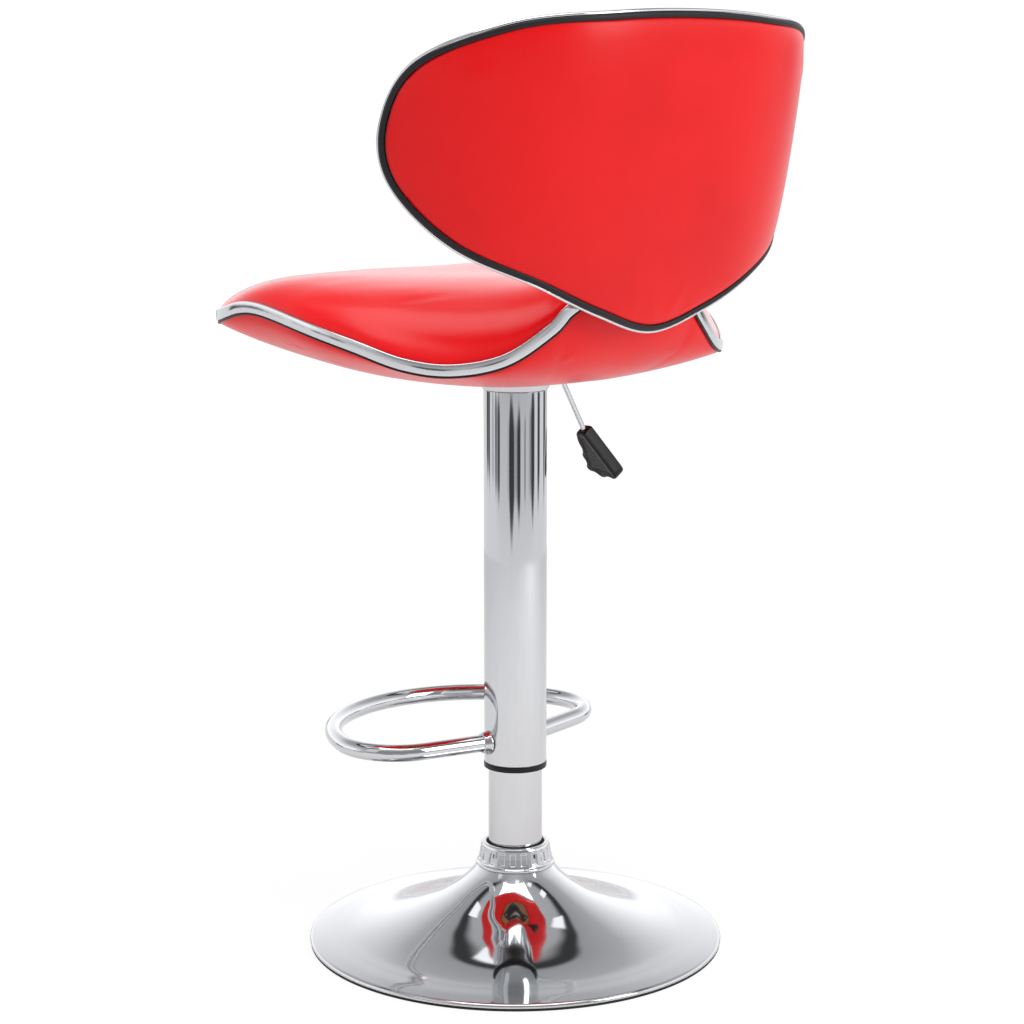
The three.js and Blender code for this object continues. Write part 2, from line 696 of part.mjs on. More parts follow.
place('gas_cylinder', gasCylinder(), blackPaint);
place('cylinder_seal', tube(gas.rod + GAP, gas.inner - GAP, gas.bottom, gas.bottom + 12, 24), rubber);
place('release_pin', disc(2, gas.top - 12, lever.height - lever.radius - 0.4, 16), steel);
place('cover_tube', tube(cover.inner, cover.radius, cover.bottom, cover.top), chrome);
place('cover_ring', coverRing(), blackPlastic);
place('top_collar', topCollar(), chrome);
place('footrest_loop', pipe(footrestCurve(), rest.tube, 52, 10), chrome);
place('footrest_collar_left', footrestCollar(1), chrome);
place('footrest_collar_right', footrestCollar(-1), chrome);

place('seat_plate', seatPlate(), blackPaint);
plateBolts.forEach((spot, i) => place(`plate_bolt_${i + 1}`, plateBolt(spot), steel));
place('lever_bracket', leverBracket(), blackPaint);
place('lever_pin', pivotBar(lever.pinRadius, 14.5, 12), steel);
place('lever_rod', leverRod(), chrome);
place('lever_grip', leverGrip(), blackPlastic);

const halfTrim = seat.trimHigh / 2;
const trimOut = GAP + seat.trimThick;
const pipeTop = -halfTrim - GAP;
place('seat_board', cut(seatBoard(), backBoltHoles()), plywood);
place('seat_shell', cut(seatShell(), backBoltHoles()), redLeather);
place('seat_cushion', cut(seatCushion(), backBoltHoles()), redLeather);
place('seat_trim', seatStrip([
  [GAP, -halfTrim], [trimOut - 1, -halfTrim], [trimOut, -halfTrim + 2], [trimOut, halfTrim - 2],
  [trimOut - 1, halfTrim], [GAP, halfTrim],
]), chrome);
place('seat_piping', seatStrip([
  [GAP, pipeTop - seat.pipe], [GAP + seat.pipe, pipeTop - seat.pipe],
  [GAP + seat.pipe, pipeTop], [GAP, pipeTop],
]), blackPlastic);

place('back_board', backBoard(), plywood);
place('back_pad', backPad(), redLeather);
place('back_panel', backPanel(), redLeather);
const backTrimOut = GAP + back.trimThick;
place('back_trim', backStrip([
  [GAP, -back.trimDeep], [backTrimOut, -back.trimDeep + 1], [backTrimOut, -1], [GAP, 0.6],
]), chrome);
place('back_band', backStrip([
  [0, boardRear + 3 * GAP], [0, back.bandHigh], [-back.band / 2, back.bandHigh + 1],
  [-back.band, back.bandHigh], [-back.band, boardRear + 3 * GAP],
]), blackPlastic);
backBolts.forEach((bolt, i) => place(`back_bolt_${i + 1}`, backBolt(bolt), steel));

export default stool;
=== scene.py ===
# Adjustable swivel stool: smooth chrome, padded red PU leather and trims built round the fixed frame.
import bmesh
import bpy
import json
import math
import numpy as np
from mathutils import Matrix, Vector


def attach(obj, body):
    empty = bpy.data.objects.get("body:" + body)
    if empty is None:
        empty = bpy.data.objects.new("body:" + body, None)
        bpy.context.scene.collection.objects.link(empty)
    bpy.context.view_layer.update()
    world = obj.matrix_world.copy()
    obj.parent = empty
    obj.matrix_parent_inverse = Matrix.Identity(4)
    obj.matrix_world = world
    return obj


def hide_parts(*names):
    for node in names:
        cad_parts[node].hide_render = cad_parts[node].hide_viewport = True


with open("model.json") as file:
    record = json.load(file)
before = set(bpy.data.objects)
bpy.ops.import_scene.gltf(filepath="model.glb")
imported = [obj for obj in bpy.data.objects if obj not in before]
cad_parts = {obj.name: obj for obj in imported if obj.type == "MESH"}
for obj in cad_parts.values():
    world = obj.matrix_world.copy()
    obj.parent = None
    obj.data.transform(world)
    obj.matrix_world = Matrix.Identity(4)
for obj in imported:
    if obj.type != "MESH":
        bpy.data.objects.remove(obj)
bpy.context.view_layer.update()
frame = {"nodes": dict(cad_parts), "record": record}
print("frame loaded:", len(frame["nodes"]), "parts")

mm = 0.001


# Small tools for colours, nodes and meshes.

def linear(hexColour):  # an sRGB hex colour as linear red, green, blue, alpha
    values = [int(hexColour[i:i + 2], 16) / 255 for i in (1, 3, 5)]
    return tuple(v / 12.92 if v <= 0.04045 else ((v + 0.055) / 1.055) ** 2.4 for v in values) + (1.0,)


def addNode(tree, kind, settings=None, links=None):  # one node, its fixed values and what feeds it
    made = tree.nodes.new(kind)
    for key, value in (settings or {}).items():
        if isinstance(key, int) or key in made.inputs:
            made.inputs[key].default_value = value
        else:
            setattr(made, key, value)
    for key, source in (links or {}).items():
        tree.links.new(source, made.inputs[key])
    return made


def addRamp(tree, source, stops, easing="LINEAR"):  # brightness steps along a value; stops are (place, colour)
    ramp = addNode(tree, "ShaderNodeValToRGB", links={"Fac": source})
    ramp.color_ramp.interpolation = easing
    elements = ramp.color_ramp.elements
    while len(elements) < len(stops):
        elements.new(0.5)
    for element, (place, colour) in zip(elements, stops):
        element.position = place
        element.color = colour
    return ramp


def newMaterial(name, settings):  # a material with its shader's constants set, and coordinates in metres
    material = bpy.data.materials.new(name)
    material.use_nodes = True
    tree = material.node_tree
    shader = tree.nodes["Principled BSDF"]
    for key, value in settings.items():
        shader.inputs[key].default_value = value
    where = addNode(tree, "ShaderNodeTexCoord").outputs["Object"]
    return material, tree, shader, where


def newMesh(name, points, faces, material, sharp=50):  # points are in millimetres
    mesh = bpy.data.meshes.new(name)
    mesh.from_pydata([(p[0] * mm, p[1] * mm, p[2] * mm) for p in points], [], faces)
    mesh.validate()
    mesh.shade_smooth()
    mesh.set_sharp_from_angle(angle=math.radians(sharp))
    mesh.materials.append(material)
    piece = bpy.data.objects.new(name, mesh)
    bpy.context.scene.collection.objects.link(piece)
    return piece


def settle(piece, body, slot, *nodes):  # rides on its body and stands for the frame's own solids
    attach(piece, body)
    if nodes:
        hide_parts(*nodes)
    return piece


def faceOut(piece):  # turns every face outwards
    bm = bmesh.new()
    bm.from_mesh(piece.data)
    bmesh.ops.recalc_face_normals(bm, faces=bm.faces)
    bm.to_mesh(piece.data)
    bm.free()


def gridFaces(rows, columns, rowsClosed, columnsClosed, first=0):  # quads between rows of points
    faces = []
    for i in range(rows if rowsClosed else rows - 1):
        for j in range(columns if columnsClosed else columns - 1):
            a, b = i * columns, ((i + 1) % rows) * columns
            k = (j + 1) % columns
            faces.append((first + a + j, first + b + j, first + b + k, first + a + k))
    return faces


def smoothCurve(points, steps):  # an even Catmull-Rom curve through all the points
    pts = np.array(points, float)
    last = len(pts) - 1
    made = []
    for t in np.linspace(0, last, steps):
        i = min(int(t), last - 1)
        w = t - i
        p0, p1, p2, p3 = pts[max(i - 1, 0)], pts[i], pts[i + 1], pts[min(i + 2, last)]
        v0, v1 = (p2 - p0) / 2, (p3 - p1) / 2
        made.append((2 * p1 - 2 * p2 + v0 + v1) * w ** 3 + (-3 * p1 + 3 * p2 - 2 * v0 - v1) * w ** 2 + v0 * w + p1)
    return np.array(made)


def loopCurve(points, steps):  # a closed centripetal curve through the points, evenly spaced
    pts = np.array(points, float)
    count = len(pts)
    made = []
    for i in range(count):
        p0, p1, p2, p3 = (pts[(i + k) % count] for k in (-1, 0, 1, 2))
        d1, d2, d3 = (max(np.linalg.norm(b - a) ** 0.5, 1e-4) for a, b in ((p0, p1), (p1, p2), (p2, p3)))
        v1 = ((p1 - p0) / d1 - (p2 - p0) / (d1 + d2) + (p2 - p1) / d2) * d2
        v2 = ((p2 - p1) / d2 - (p3 - p1) / (d2 + d3) + (p3 - p2) / d3) * d2
        for w in np.linspace(0, 1, 40, endpoint=False):
            cubic, square = 2 * p1 - 2 * p2 + v1 + v2, -3 * p1 + 3 * p2 - 2 * v1 - v2
            made.append(cubic * w ** 3 + square * w ** 2 + v1 * w + p1)
    return evenly(np.array(made), steps)


def evenly(points, steps):  # a closed line's points at even distances
    ring = np.vstack([points, points[:1]])
    lengths = np.concatenate([[0], np.cumsum(np.linalg.norm(np.diff(ring, axis=0), axis=1))])
    wanted = np.linspace(0, lengths[-1], steps, endpoint=False)
    return np.column_stack([np.interp(wanted, lengths, ring[:, k]) for k in range(ring.shape[1])])


def rounded(profile, radius, steps=4):  # a closed section with its corners eased
    pts = np.array(profile, float)
    made = []
    for i, p in enumerate(pts):
        before, after = pts[i - 1] - p, pts[(i + 1) % len(pts)] - p
        reach = min(radius, np.linalg.norm(before) * 0.45, np.linalg.norm(after) * 0.45)
        a = p + before / np.linalg.norm(before) * reach
        b = p + after / np.linalg.norm(after) * reach
        for w in np.linspace(0, 1, steps + 1):
            made.append((1 - w) ** 2 * a + 2 * w * (1 - w) * p + w ** 2 * b)
    return np.array(made)


def turned(name, profile, material, steps=128, sharp=50):  # [radius, height] pairs turned round the column's axis
    rows = []
    for i in range(steps):
        a = 2 * math.pi * i / steps
        rows += [(r * math.cos(a), r * math.sin(a), z) for r, z in profile]
    piece = newMesh(name, rows, gridFaces(steps, len(profile), True, True), material, sharp)
    faceOut(piece)
    return piece


def swept(name, sections, material, closedPath, sharp=50):  # equal sections joined one after another
    count = len(sections[0])
    points = [tuple(p) for section in sections for p in section]
    faces = gridFaces(len(sections), count, closedPath, True)
    if not closedPath:
        faces.append(tuple(range(count - 1, -1, -1)))
        faces.append(tuple(range(len(points) - count, len(points))))
    piece = newMesh(name, points, faces, material, sharp)
    faceOut(piece)
    return piece


def roundBar(name, path, radii, material, sides=32):  # a bar along a path; radii has one value for each point
    path = np.array(path, float)
    tangents = np.gradient(path, axis=0)
    tangents /= np.linalg.norm(tangents, axis=1)[:, None]
    side = np.cross(tangents[0], (0.3, 0.2, 0.93))
    sections = []
    for p, t, r in zip(path, tangents, radii):
        side = side - t * np.dot(side, t)
        side /= np.linalg.norm(side)
        other = np.cross(t, side)
        angles = np.linspace(0, 2 * math.pi, sides, endpoint=False)
        sections.append([p + r * (math.cos(a) * side + math.sin(a) * other) for a in angles])
    return swept(name, sections, material, False)


# Finishes, each named for the real material.

# Bright decorative chrome plate over polished steel tube: a near-perfect cool mirror with a faint polishing haze.
chrome, tree, shader, where = newMaterial("bright_chrome_plate", {
    "Base Color": linear("#D2D4D6"), "Metallic": 1.0, "Roughness": 0.05})
# 45 mm polishing clouds.
haze = addNode(tree, "ShaderNodeTexNoise", {"Scale": 22.0, "Detail": 4.0}, {"Vector": where})
spread = addNode(tree, "ShaderNodeMapRange", {"To Min": 0.03, "To Max": 0.085}, {"Value": haze.outputs["Fac"]})
tree.links.new(spread.outputs["Result"], shader.inputs["Roughness"])
# 70 mm pressing waves.
ripple = addNode(tree, "ShaderNodeTexNoise", {"Scale": 14.0, "Detail": 1.0}, {"Vector": where})
bump = addNode(tree, "ShaderNodeBump", {"Strength": 0.25, "Distance": 0.0004}, {"Height": ripple.outputs["Fac"]})
tree.links.new(bump.outputs["Normal"], shader.inputs["Normal"])

# Chromed flexible edging: a metal film on plastic, so it is brighter, a touch softer and slightly wavy.
trimChrome, tree, shader, where = newMaterial("chromed_edging_strip", {
    "Base Color": linear("#D6D8DA"), "Metallic": 1.0, "Roughness": 0.12})
wave = addNode(tree, "ShaderNodeTexNoise", {"Scale": 60.0, "Detail": 3.0}, {"Vector": where})  # 16 mm waves
spread = addNode(tree, "ShaderNodeMapRange", {"To Min": 0.09, "To Max": 0.17}, {"Value": wave.outputs["Fac"]})
tree.links.new(spread.outputs["Result"], shader.inputs["Roughness"])
bump = addNode(tree, "ShaderNodeBump", {"Strength": 0.3, "Distance": 0.0003}, {"Height": wave.outputs["Fac"]})
tree.links.new(bump.outputs["Normal"], shader.inputs["Normal"])


def leather(name, deep, main, roughness, grain, sheen):  # smooth PU leather: printed pebble grain under a satin coat
    material, tree, shader, where = newMaterial(name, {
        "Base Color": linear(main), "Roughness": roughness[0], "IOR": 1.33, "Coat Weight": 0.05,
        "Coat Roughness": 0.18, "Coat IOR": 1.4, "Sheen Weight": sheen, "Sheen Roughness": 0.3})
    # 110 mm tone drift.
    cloud = addNode(tree, "ShaderNodeTexNoise", {"Scale": 9.0, "Detail": 3.0}, {"Vector": where})
    tone = addRamp(tree, cloud.outputs["Fac"], [(0.3, linear(deep)), (0.62, linear(main))])
    tree.links.new(tone.outputs["Color"], shader.inputs["Base Color"])
    pebble = addNode(tree, "ShaderNodeTexVoronoi", {"feature": "DISTANCE_TO_EDGE", "Scale": 1000 / grain},
                     {"Vector": where})
    fold = addNode(tree, "ShaderNodeTexNoise", {"Scale": 160.0, "Detail": 5.0, "Roughness": 0.6}, {"Vector": where})
    crease = addNode(tree, "ShaderNodeMapRange", {"From Max": 0.25}, {"Value": pebble.outputs["Distance"]})
    both = addNode(tree, "ShaderNodeMath", {"operation": "MULTIPLY_ADD", 1: 0.6},
                   {0: fold.outputs["Fac"], 2: crease.outputs["Result"]})
    bump = addNode(tree, "ShaderNodeBump", {"Strength": 0.35, "Distance": 0.00008}, {"Height": both.outputs["Value"]})
    tree.links.new(bump.outputs["Normal"], shader.inputs["Normal"])
    gloss = addNode(tree, "ShaderNodeMapRange", {"To Min": roughness[1], "To Max": roughness[0]},
                    {"Value": fold.outputs["Fac"]})
    tree.links.new(gloss.outputs["Result"], shader.inputs["Roughness"])
    return material


# Signal-red PU leather: saturated, with a soft satin shine; the real 1 mm pebble is drawn at 1.6 mm so that it shows.
redLeather = leather("red_pu_leather", "#DE080E", "#E90E12", (0.35, 0.27), 1.6, 0.1)
# The sitting face's leather, tight over its foam: glossier, and pale where it is seen edge on. Its colours are a
# brighter copy of the red leather: painted light for the top lit from above.
litSeatLeather = leather("red_pu_leather_seat_painted_lit", "#EA1016", "#F4161C", (0.26, 0.19), 1.6, 1.0)
# The same coated cloth in black, cut into narrow strips for the welt and band.
blackLeather = leather("black_pu_welt", "#17171A", "#222225", (0.5, 0.4), 1.4, 0)

# Moulded ABS with a spark-eroded texture: near black with a soft grey shine that hides finger marks.
blackAbs, tree, shader, where = newMaterial("moulded_black_abs", {
    "Base Color": linear("#0D0C0C"), "Roughness": 0.4, "IOR": 1.38})
# 1.1 mm erosion texture.
grit = addNode(tree, "ShaderNodeTexNoise", {"Scale": 900.0, "Detail": 2.0}, {"Vector": where})
bump = addNode(tree, "ShaderNodeBump", {"Strength": 0.25, "Distance": 0.00006}, {"Height": grit.outputs["Fac"]})
tree.links.new(bump.outputs["Normal"], shader.inputs["Normal"])
shine = addNode(tree, "ShaderNodeMapRange", {"To Min": 0.3, "To Max": 0.46}, {"Value": grit.outputs["Fac"]})
tree.links.new(shine.outputs["Result"], shader.inputs["Roughness"])

# Moulded rubber: matt and slightly dusty, so it reads as a soft dark line.
rubber, tree, shader, where = newMaterial("moulded_black_rubber", {
    "Base Color": linear("#1A1A1B"), "Roughness": 0.82, "IOR": 1.52})
# 8 mm dust patches.
dust = addNode(tree, "ShaderNodeTexNoise", {"Scale": 120.0, "Detail": 5.0}, {"Vector": where})
tone = addRamp(tree, dust.outputs["Fac"], [(0.35, linear("#141415")), (0.75, linear("#262628"))])
tree.links.new(tone.outputs["Color"], shader.inputs["Base Color"])
bump = addNode(tree, "ShaderNodeBump", {"Strength": 0.3, "Distance": 0.0001}, {"Height": dust.outputs["Fac"]})
tree.links.new(bump.outputs["Normal"], shader.inputs["Normal"])

# Zinc-plated pressed steel: grey with a faint blue spangle and fine rolling lines.
zinc, tree, shader, where = newMaterial("zinc_plated_steel", {
    "Base Color": linear("#A8ABB0"), "Metallic": 1.0, "Roughness": 0.35})
spangle = addNode(tree, "ShaderNodeTexVoronoi", {"Scale": 240.0}, {"Vector": where})  # 4 mm crystals
tone = addRamp(tree, spangle.outputs["Distance"], [(0.0, linear("#9EA2A8")), (0.9, linear("#B4B6B9"))])
tree.links.new(tone.outputs["Color"], shader.inputs["Base Color"])
lines = addNode(tree, "ShaderNodeMapping", {"Scale": (60, 1400, 60)}, {"Vector": where})
roll = addNode(tree, "ShaderNodeTexNoise", {"Scale": 1.0, "Detail": 3.0}, {"Vector": lines.outputs["Vector"]})
spread = addNode(tree, "ShaderNodeMapRange", {"To Min": 0.28, "To Max": 0.45}, {"Value": roll.outputs["Fac"]})
tree.links.new(spread.outputs["Result"], shader.inputs["Roughness"])

# Black powder coat: an even satin skin with a fine orange peel.
powderCoat, tree, shader, where = newMaterial("black_powder_coat", {
    "Base Color": linear("#1D1D1F"), "Roughness": 0.48, "IOR": 1.5})
# 1.5 mm orange peel.
peel = addNode(tree, "ShaderNodeTexNoise", {"Scale": 650.0, "Detail": 2.0}, {"Vector": where})
bump = addNode(tree, "ShaderNodeBump", {"Strength": 0.3, "Distance": 0.00008}, {"Height": peel.outputs["Fac"]})
tree.links.new(bump.outputs["Normal"], shader.inputs["Normal"])
spread = addNode(tree, "ShaderNodeMapRange", {"To Min": 0.42, "To Max": 0.55}, {"Value": peel.outputs["Fac"]})
tree.links.new(spread.outputs["Result"], shader.inputs["Roughness"])

# Moulded poplar plywood: pale tan with long darker grain lines.
plywood, tree, shader, where = newMaterial("moulded_plywood", {
    "Base Color": linear("#C39B6B"), "Roughness": 0.7, "IOR": 1.45})
# 3 mm lines, 55 mm long.
along = addNode(tree, "ShaderNodeMapping", {"Scale": (18, 330, 180)}, {"Vector": where})
grain = addNode(tree, "ShaderNodeTexNoise", {"Scale": 1.0, "Detail": 6.0, "Distortion": 0.4},
                {"Vector": along.outputs["Vector"]})
tone = addRamp(tree, grain.outputs["Fac"], [(0.3, linear("#A67E50")), (0.7, linear("#CDA878"))])
tree.links.new(tone.outputs["Color"], shader.inputs["Base Color"])
bump = addNode(tree, "ShaderNodeBump", {"Strength": 0.2, "Distance": 0.0002}, {"Height": grain.outputs["Fac"]})
tree.links.new(bump.outputs["Normal"], shader.inputs["Normal"])

print("finishes ready")

# The base stands on a rubber ring, and a collar closes its neck onto the column.
base = {"radius": 193, "rimHeight": 6.5, "skin": 1.2, "lip": 2.4, "steps": 200,
        "floorRing": [(184, 0), (192.5, 0), (192.5, 2.1), (184, 2.1)],
        "curve": [(36, 72), (42, 64), (50, 56), (60, 48.3), (75, 38.9), (93, 30.4), (110, 23.7), (130, 17), (150, 12.1),
                  (165, 9.9), (178, 8.3), (190, 6.5)]}


def baseBell():  # the pressed trumpet, its skin turned down and in at the rim
    outer = smoothCurve(base["curve"], 90)
    slope = np.gradient(outer, axis=0)
    slope /= np.linalg.norm(slope, axis=1)[:, None]
    inner = outer + np.column_stack([slope[:, 1], -slope[:, 0]]) * base["skin"]
    r, h, lip = base["radius"], base["rimHeight"], base["lip"]
    rim = [(r - 1.4, h - 0.35), (r - 0.45, h - 1.2), (r, h - 2.4), (r, lip + 0.5), (r - 0.25, lip + 0.1),
           (r - 0.7, lip), (r - base["skin"], lip + 0.3)]
    inner[-1] = (r - 3, h - base["skin"])
    return turned("base_dish", [*map(tuple, outer), *rim, *map(tuple, inner[::-1])], chrome, base["steps"], 60)


settle(baseBell(), "base", "chrome_plate", "base_bell")

floorRing = turned("base_floor_ring", rounded(base["floorRing"], 0.6), rubber, base["steps"])
settle(floorRing, "base", "rubber_black", "floor_ring")

collar = {"slots": 20, "slotHalf": 5.2, "low": 78, "high": 90, "depth": 0.8, "steps": 480, "soft": 1.2,
          "coneFrom": 31.2, "coneLow": 76.5,
          "profile": [(25.3, 72.3), (36.6, 72.3), (36.6, 74.7), (35, 76.3), (33.4, 84.3), (32, 92), (31, 94),
                      (27.3, 94), (27.3, 91), (25.3, 91)],
          "seal": [(25.05, 91.2), (27.2, 91.2), (27.2, 93.4), (26.4, 94.1), (25.05, 93.6)]}


def step(value, low, high):  # 0 below low, 1 above high, easing in between
    t = min(max((value - low) / (high - low), 0), 1)
    return t * t * (3 - 2 * t)


def baseCollar():  # the turned cap over the neck, with a row of pressed windows round its cone
    corners = rounded(collar["profile"], 0.7, 3)
    section = []
    for i, p in enumerate(corners):
        q = corners[(i + 1) % len(corners)]
        parts = 12 if np.linalg.norm(q - p) > 4 and p[0] > 28 and q[1] > p[1] else 1
        section += [tuple(p + (q - p) * k / parts) for k in range(parts)]
    rows = []
    low, high, soft = collar["low"], collar["high"], collar["soft"]
    for i in range(collar["steps"]):
        a = 360 * i / collar["steps"]
        off = abs((a % (360 / collar["slots"])) - 180 / collar["slots"])
        for r, z in section:
            inSlot = 0
            if r > collar["coneFrom"] and z > collar["coneLow"]:
                ends = step(z, low, low + soft) * (1 - step(z, high - soft, high))
                inSlot = ends * (1 - step(off, collar["slotHalf"] - soft, collar["slotHalf"]))
            pressed = r - collar["depth"] * inSlot
            rows.append((pressed * math.cos(math.radians(a)), pressed * math.sin(math.radians(a)), z))
    piece = newMesh("base_collar_cap", rows, gridFaces(collar["steps"], len(section), True, True), chrome, 60)
    faceOut(piece)
    return piece


settle(baseCollar(), "base", "chrome_plate", "base_collar")
seal = turned("base_collar_seal", rounded(collar["seal"], 0.3), rubber)  # closes the collar onto the tube
settle(seal, "base", "rubber_black")
print("base ready")

# The column is a fixed stand tube inside a cover tube that turns and lifts with the seat.
column = {"standTube": [(23.4, 1.5), (25, 1.5), (25, 430), (23.4, 430)],
          "coverTube": [(27.4, 172), (29, 172), (29, 519.5), (27.4, 519.5)],
          "coverRing": [(25.3, 166.5), (29.2, 166.5), (29.2, 171.7), (27.1, 171.7), (27.1, 190), (25.3, 190)],
          "topCollar": [(20.3, 524.3), (20.3, 522.3), (27.4, 522.3), (27.4, 519.8), (29.8, 519.8), (34.5, 528.8),
                        (33, 528.8), (29, 524.3)]}

settle(turned("stand_tube_polished", rounded(column["standTube"], 0.4), chrome),
       "base", "chrome_plate", "stand_tube")
settle(turned("cover_tube_polished", rounded(column["coverTube"], 0.5), chrome),
       "seat", "chrome_plate", "cover_tube")
settle(turned("cover_ring_moulded", rounded(column["coverRing"], 0.6), blackAbs),
       "seat", "plastic_black", "cover_ring")
settle(turned("top_collar_flared", rounded(column["topCollar"], 0.6), chrome),
       "seat", "chrome_plate", "top_collar")
print("column ready")

# The footrest is one bent bar, welded to the cover tube at both ends.
footrest = {"height": 192, "tube": 8, "loopRadius": 137.5, "loopCentre": 52.5, "fillet": 54, "sweep": 13,
            "start": 29.3, "weldAt": 29.4,
            "weld": [(8.1, -1.5), (11.4, -1.5), (11.6, 0.6), (10.6, 2.4), (9.8, 4.6), (9, 6), (8.1, 6.4)]}


def onCircle(radius, angle):  # a flat point from its radius and angle
    return radius * np.array([math.cos(angle), math.sin(angle)])


def footrestPath():  # an arm, a bend, the loop in front of the shins, a bend and the other arm
    sweep = math.radians(footrest["sweep"])
    along = np.array([math.cos(sweep), math.sin(sweep)])
    across = np.array([-math.sin(sweep), math.cos(sweep)])
    toCentre = across * footrest["fillet"] - np.array([0, footrest["loopCentre"]])
    b = toCentre @ along
    reach = -b + math.sqrt(b * b - toCentre @ toCentre + (footrest["loopRadius"] - footrest["fillet"]) ** 2)
    centre = along * reach + across * footrest["fillet"]
    low = math.atan2(*(along * reach - centre)[::-1])
    high = math.atan2(*(centre - np.array([0, footrest["loopCentre"]]))[::-1])
    half = [along * w for w in np.linspace(footrest["start"], reach, 14)]
    half += [centre + onCircle(footrest["fillet"], a) for a in np.linspace(low, high, 26)[1:]]
    middle = np.array([0, footrest["loopCentre"]])
    half += [middle + onCircle(footrest["loopRadius"], a) for a in np.linspace(high, math.pi / 2, 44)[1:]]
    whole = half + [np.array([-p[0], p[1]]) for p in half[-2::-1]]
    return [(p[0], -p[1], footrest["height"]) for p in whole]


path = footrestPath()
loop = roundBar("footrest_loop_bent", path, [footrest["tube"]] * len(path), chrome)
settle(loop, "seat", "chrome_plate", "footrest_loop")

for side, node in ((1, "footrest_collar_left"), (-1, "footrest_collar_right")):
    sweep = math.radians(footrest["sweep"])
    along = Vector((side * math.cos(sweep), -math.sin(sweep), 0))
    ring = rounded(footrest["weld"], 0.9, 4)  # a smoothed weld bead that runs out along the bar
    weld = turned(node + "_welded", [tuple(p) for p in ring], chrome, 64)
    turn = along.to_track_quat("Z", "Y").to_matrix().to_4x4()
    place = Matrix.Translation((along * footrest["weldAt"] + Vector((0, 0, footrest["height"]))) * mm)
    weld.data.transform(place @ turn)
    settle(weld, "seat", "chrome_plate", node)
print("footrest ready")

# The height lever: a bent rod with an eye round its pin, and a moulded grip.
lever = {"rod": [(3, 549.5), (-20, 549.5), (-31, 549.5), (-38, 549.3), (-45, 545), (-64.8, 510), (-84.5, 475),
                 (-95.3, 455.9)],
         "radius": 2.6, "end": (-84.5, 0, 475), "angle": 55, "thick": 13, "middle": (30, 0),
         "eyeAt": (-31, 0, 549.5), "eyeClear": 3.1, "eye": [(1.95, -3.6), (4.4, -3.6), (4.4, 3.6), (1.95, 3.6)],
         "start": [(0, -5.5), (0, 5.5), (48, 18)],
         "waves": [((55, 19.5), (56, 12)), ((52, 7), (55, 2)), ((57, -2), (54, -6)), ((49, -9), (50, -14)),
                   ((49, -19), (44, -18.5)), ((38, -13), (34, -15)), ((28, -16.5), (26, -12.5)),
                   ((20, -9), (16, -10.5)), ((8, -10), (0, -5.5))],
         "layers": [(6.5, 0.86), (3.4, 0.97), (1.7, 1), (0.6, 0.93), (0.15, 0.78), (0, 0.5), (0, -0.5), (0.15, -0.78),
                    (0.6, -0.93), (1.7, -1), (3.4, -1), (6.5, -1)]}


def leverRod():  # two straight runs of the bar, joined to the eye that turns on the pin
    line = [(x, 0, z) for x, z in smoothCurve(lever["rod"], 120)]
    eye = turned("lever_rod_bent", rounded(lever["eye"], 0.5), chrome, 48)
    place = Matrix.Translation(Vector(lever["eyeAt"]) * mm) @ Matrix.Rotation(math.pi / 2, 4, "X")
    eye.data.transform(place)
    whole = bmesh.new()
    whole.from_mesh(eye.data)
    near, far = lever["eyeAt"][0] + lever["eyeClear"], lever["eyeAt"][0] - lever["eyeClear"]
    for run in ([p for p in line if p[0] > near], [p for p in line if p[0] < far]):
        part = roundBar("lever_rod_part", run, [lever["radius"]] * len(run), chrome, 24)
        whole.from_mesh(part.data)
        bpy.data.objects.remove(part)
    whole.to_mesh(eye.data)
    whole.free()
    eye.data.shade_smooth()
    eye.data.set_sharp_from_angle(angle=math.radians(50))
    return eye


settle(leverRod(), "lever", "chrome_plate", "lever_rod")


def eased(ring, times):  # each point drawn towards its neighbours
    for _ in range(times):
        ring = (np.roll(ring, 1, 0) + 2 * ring + np.roll(ring, -1, 0)) / 4
    return ring


def gripOutline(steps=180):  # the straight edge, the waved end and the finger waves, evenly spaced
    line = [np.array(p, float) for p in lever["start"]]
    for bend, end in lever["waves"]:
        first, middle, last = line[-1], np.array(bend, float), np.array(end, float)
        line += [(1 - w) ** 2 * first + 2 * w * (1 - w) * middle + w * w * last for w in np.linspace(0, 1, 9)[1:]]
    return eased(evenly(np.array(line[:-1]), steps), 3)


def leverGrip():  # a flat handle, its edges eased by stacked outlines, each (inset, height)
    down = math.radians(lever["angle"])
    along = np.array([-math.cos(down), 0, -math.sin(down)])
    across = np.array([0, 1, 0])
    up = np.cross(along, across)
    outline = gripOutline()
    tangent = np.roll(outline, -1, 0) - np.roll(outline, 1, 0)
    inward = np.column_stack([tangent[:, 1], -tangent[:, 0]]) / np.linalg.norm(tangent, axis=1)[:, None]
    inward *= np.sign(np.sum(inward * (np.array(lever["middle"]) - outline), axis=1).mean())
    rings = []
    for inset, height in lever["layers"]:
        rings.append([np.array(lever["end"]) + along * x + across * y + up * height * lever["thick"] / 2
                      for x, y in eased(outline + inward * inset, int(inset * 4))])
    return swept("lever_grip_moulded", rings, blackAbs, False, 60)


settle(leverGrip(), "lever", "plastic_black", "lever_grip")
print("lever ready")

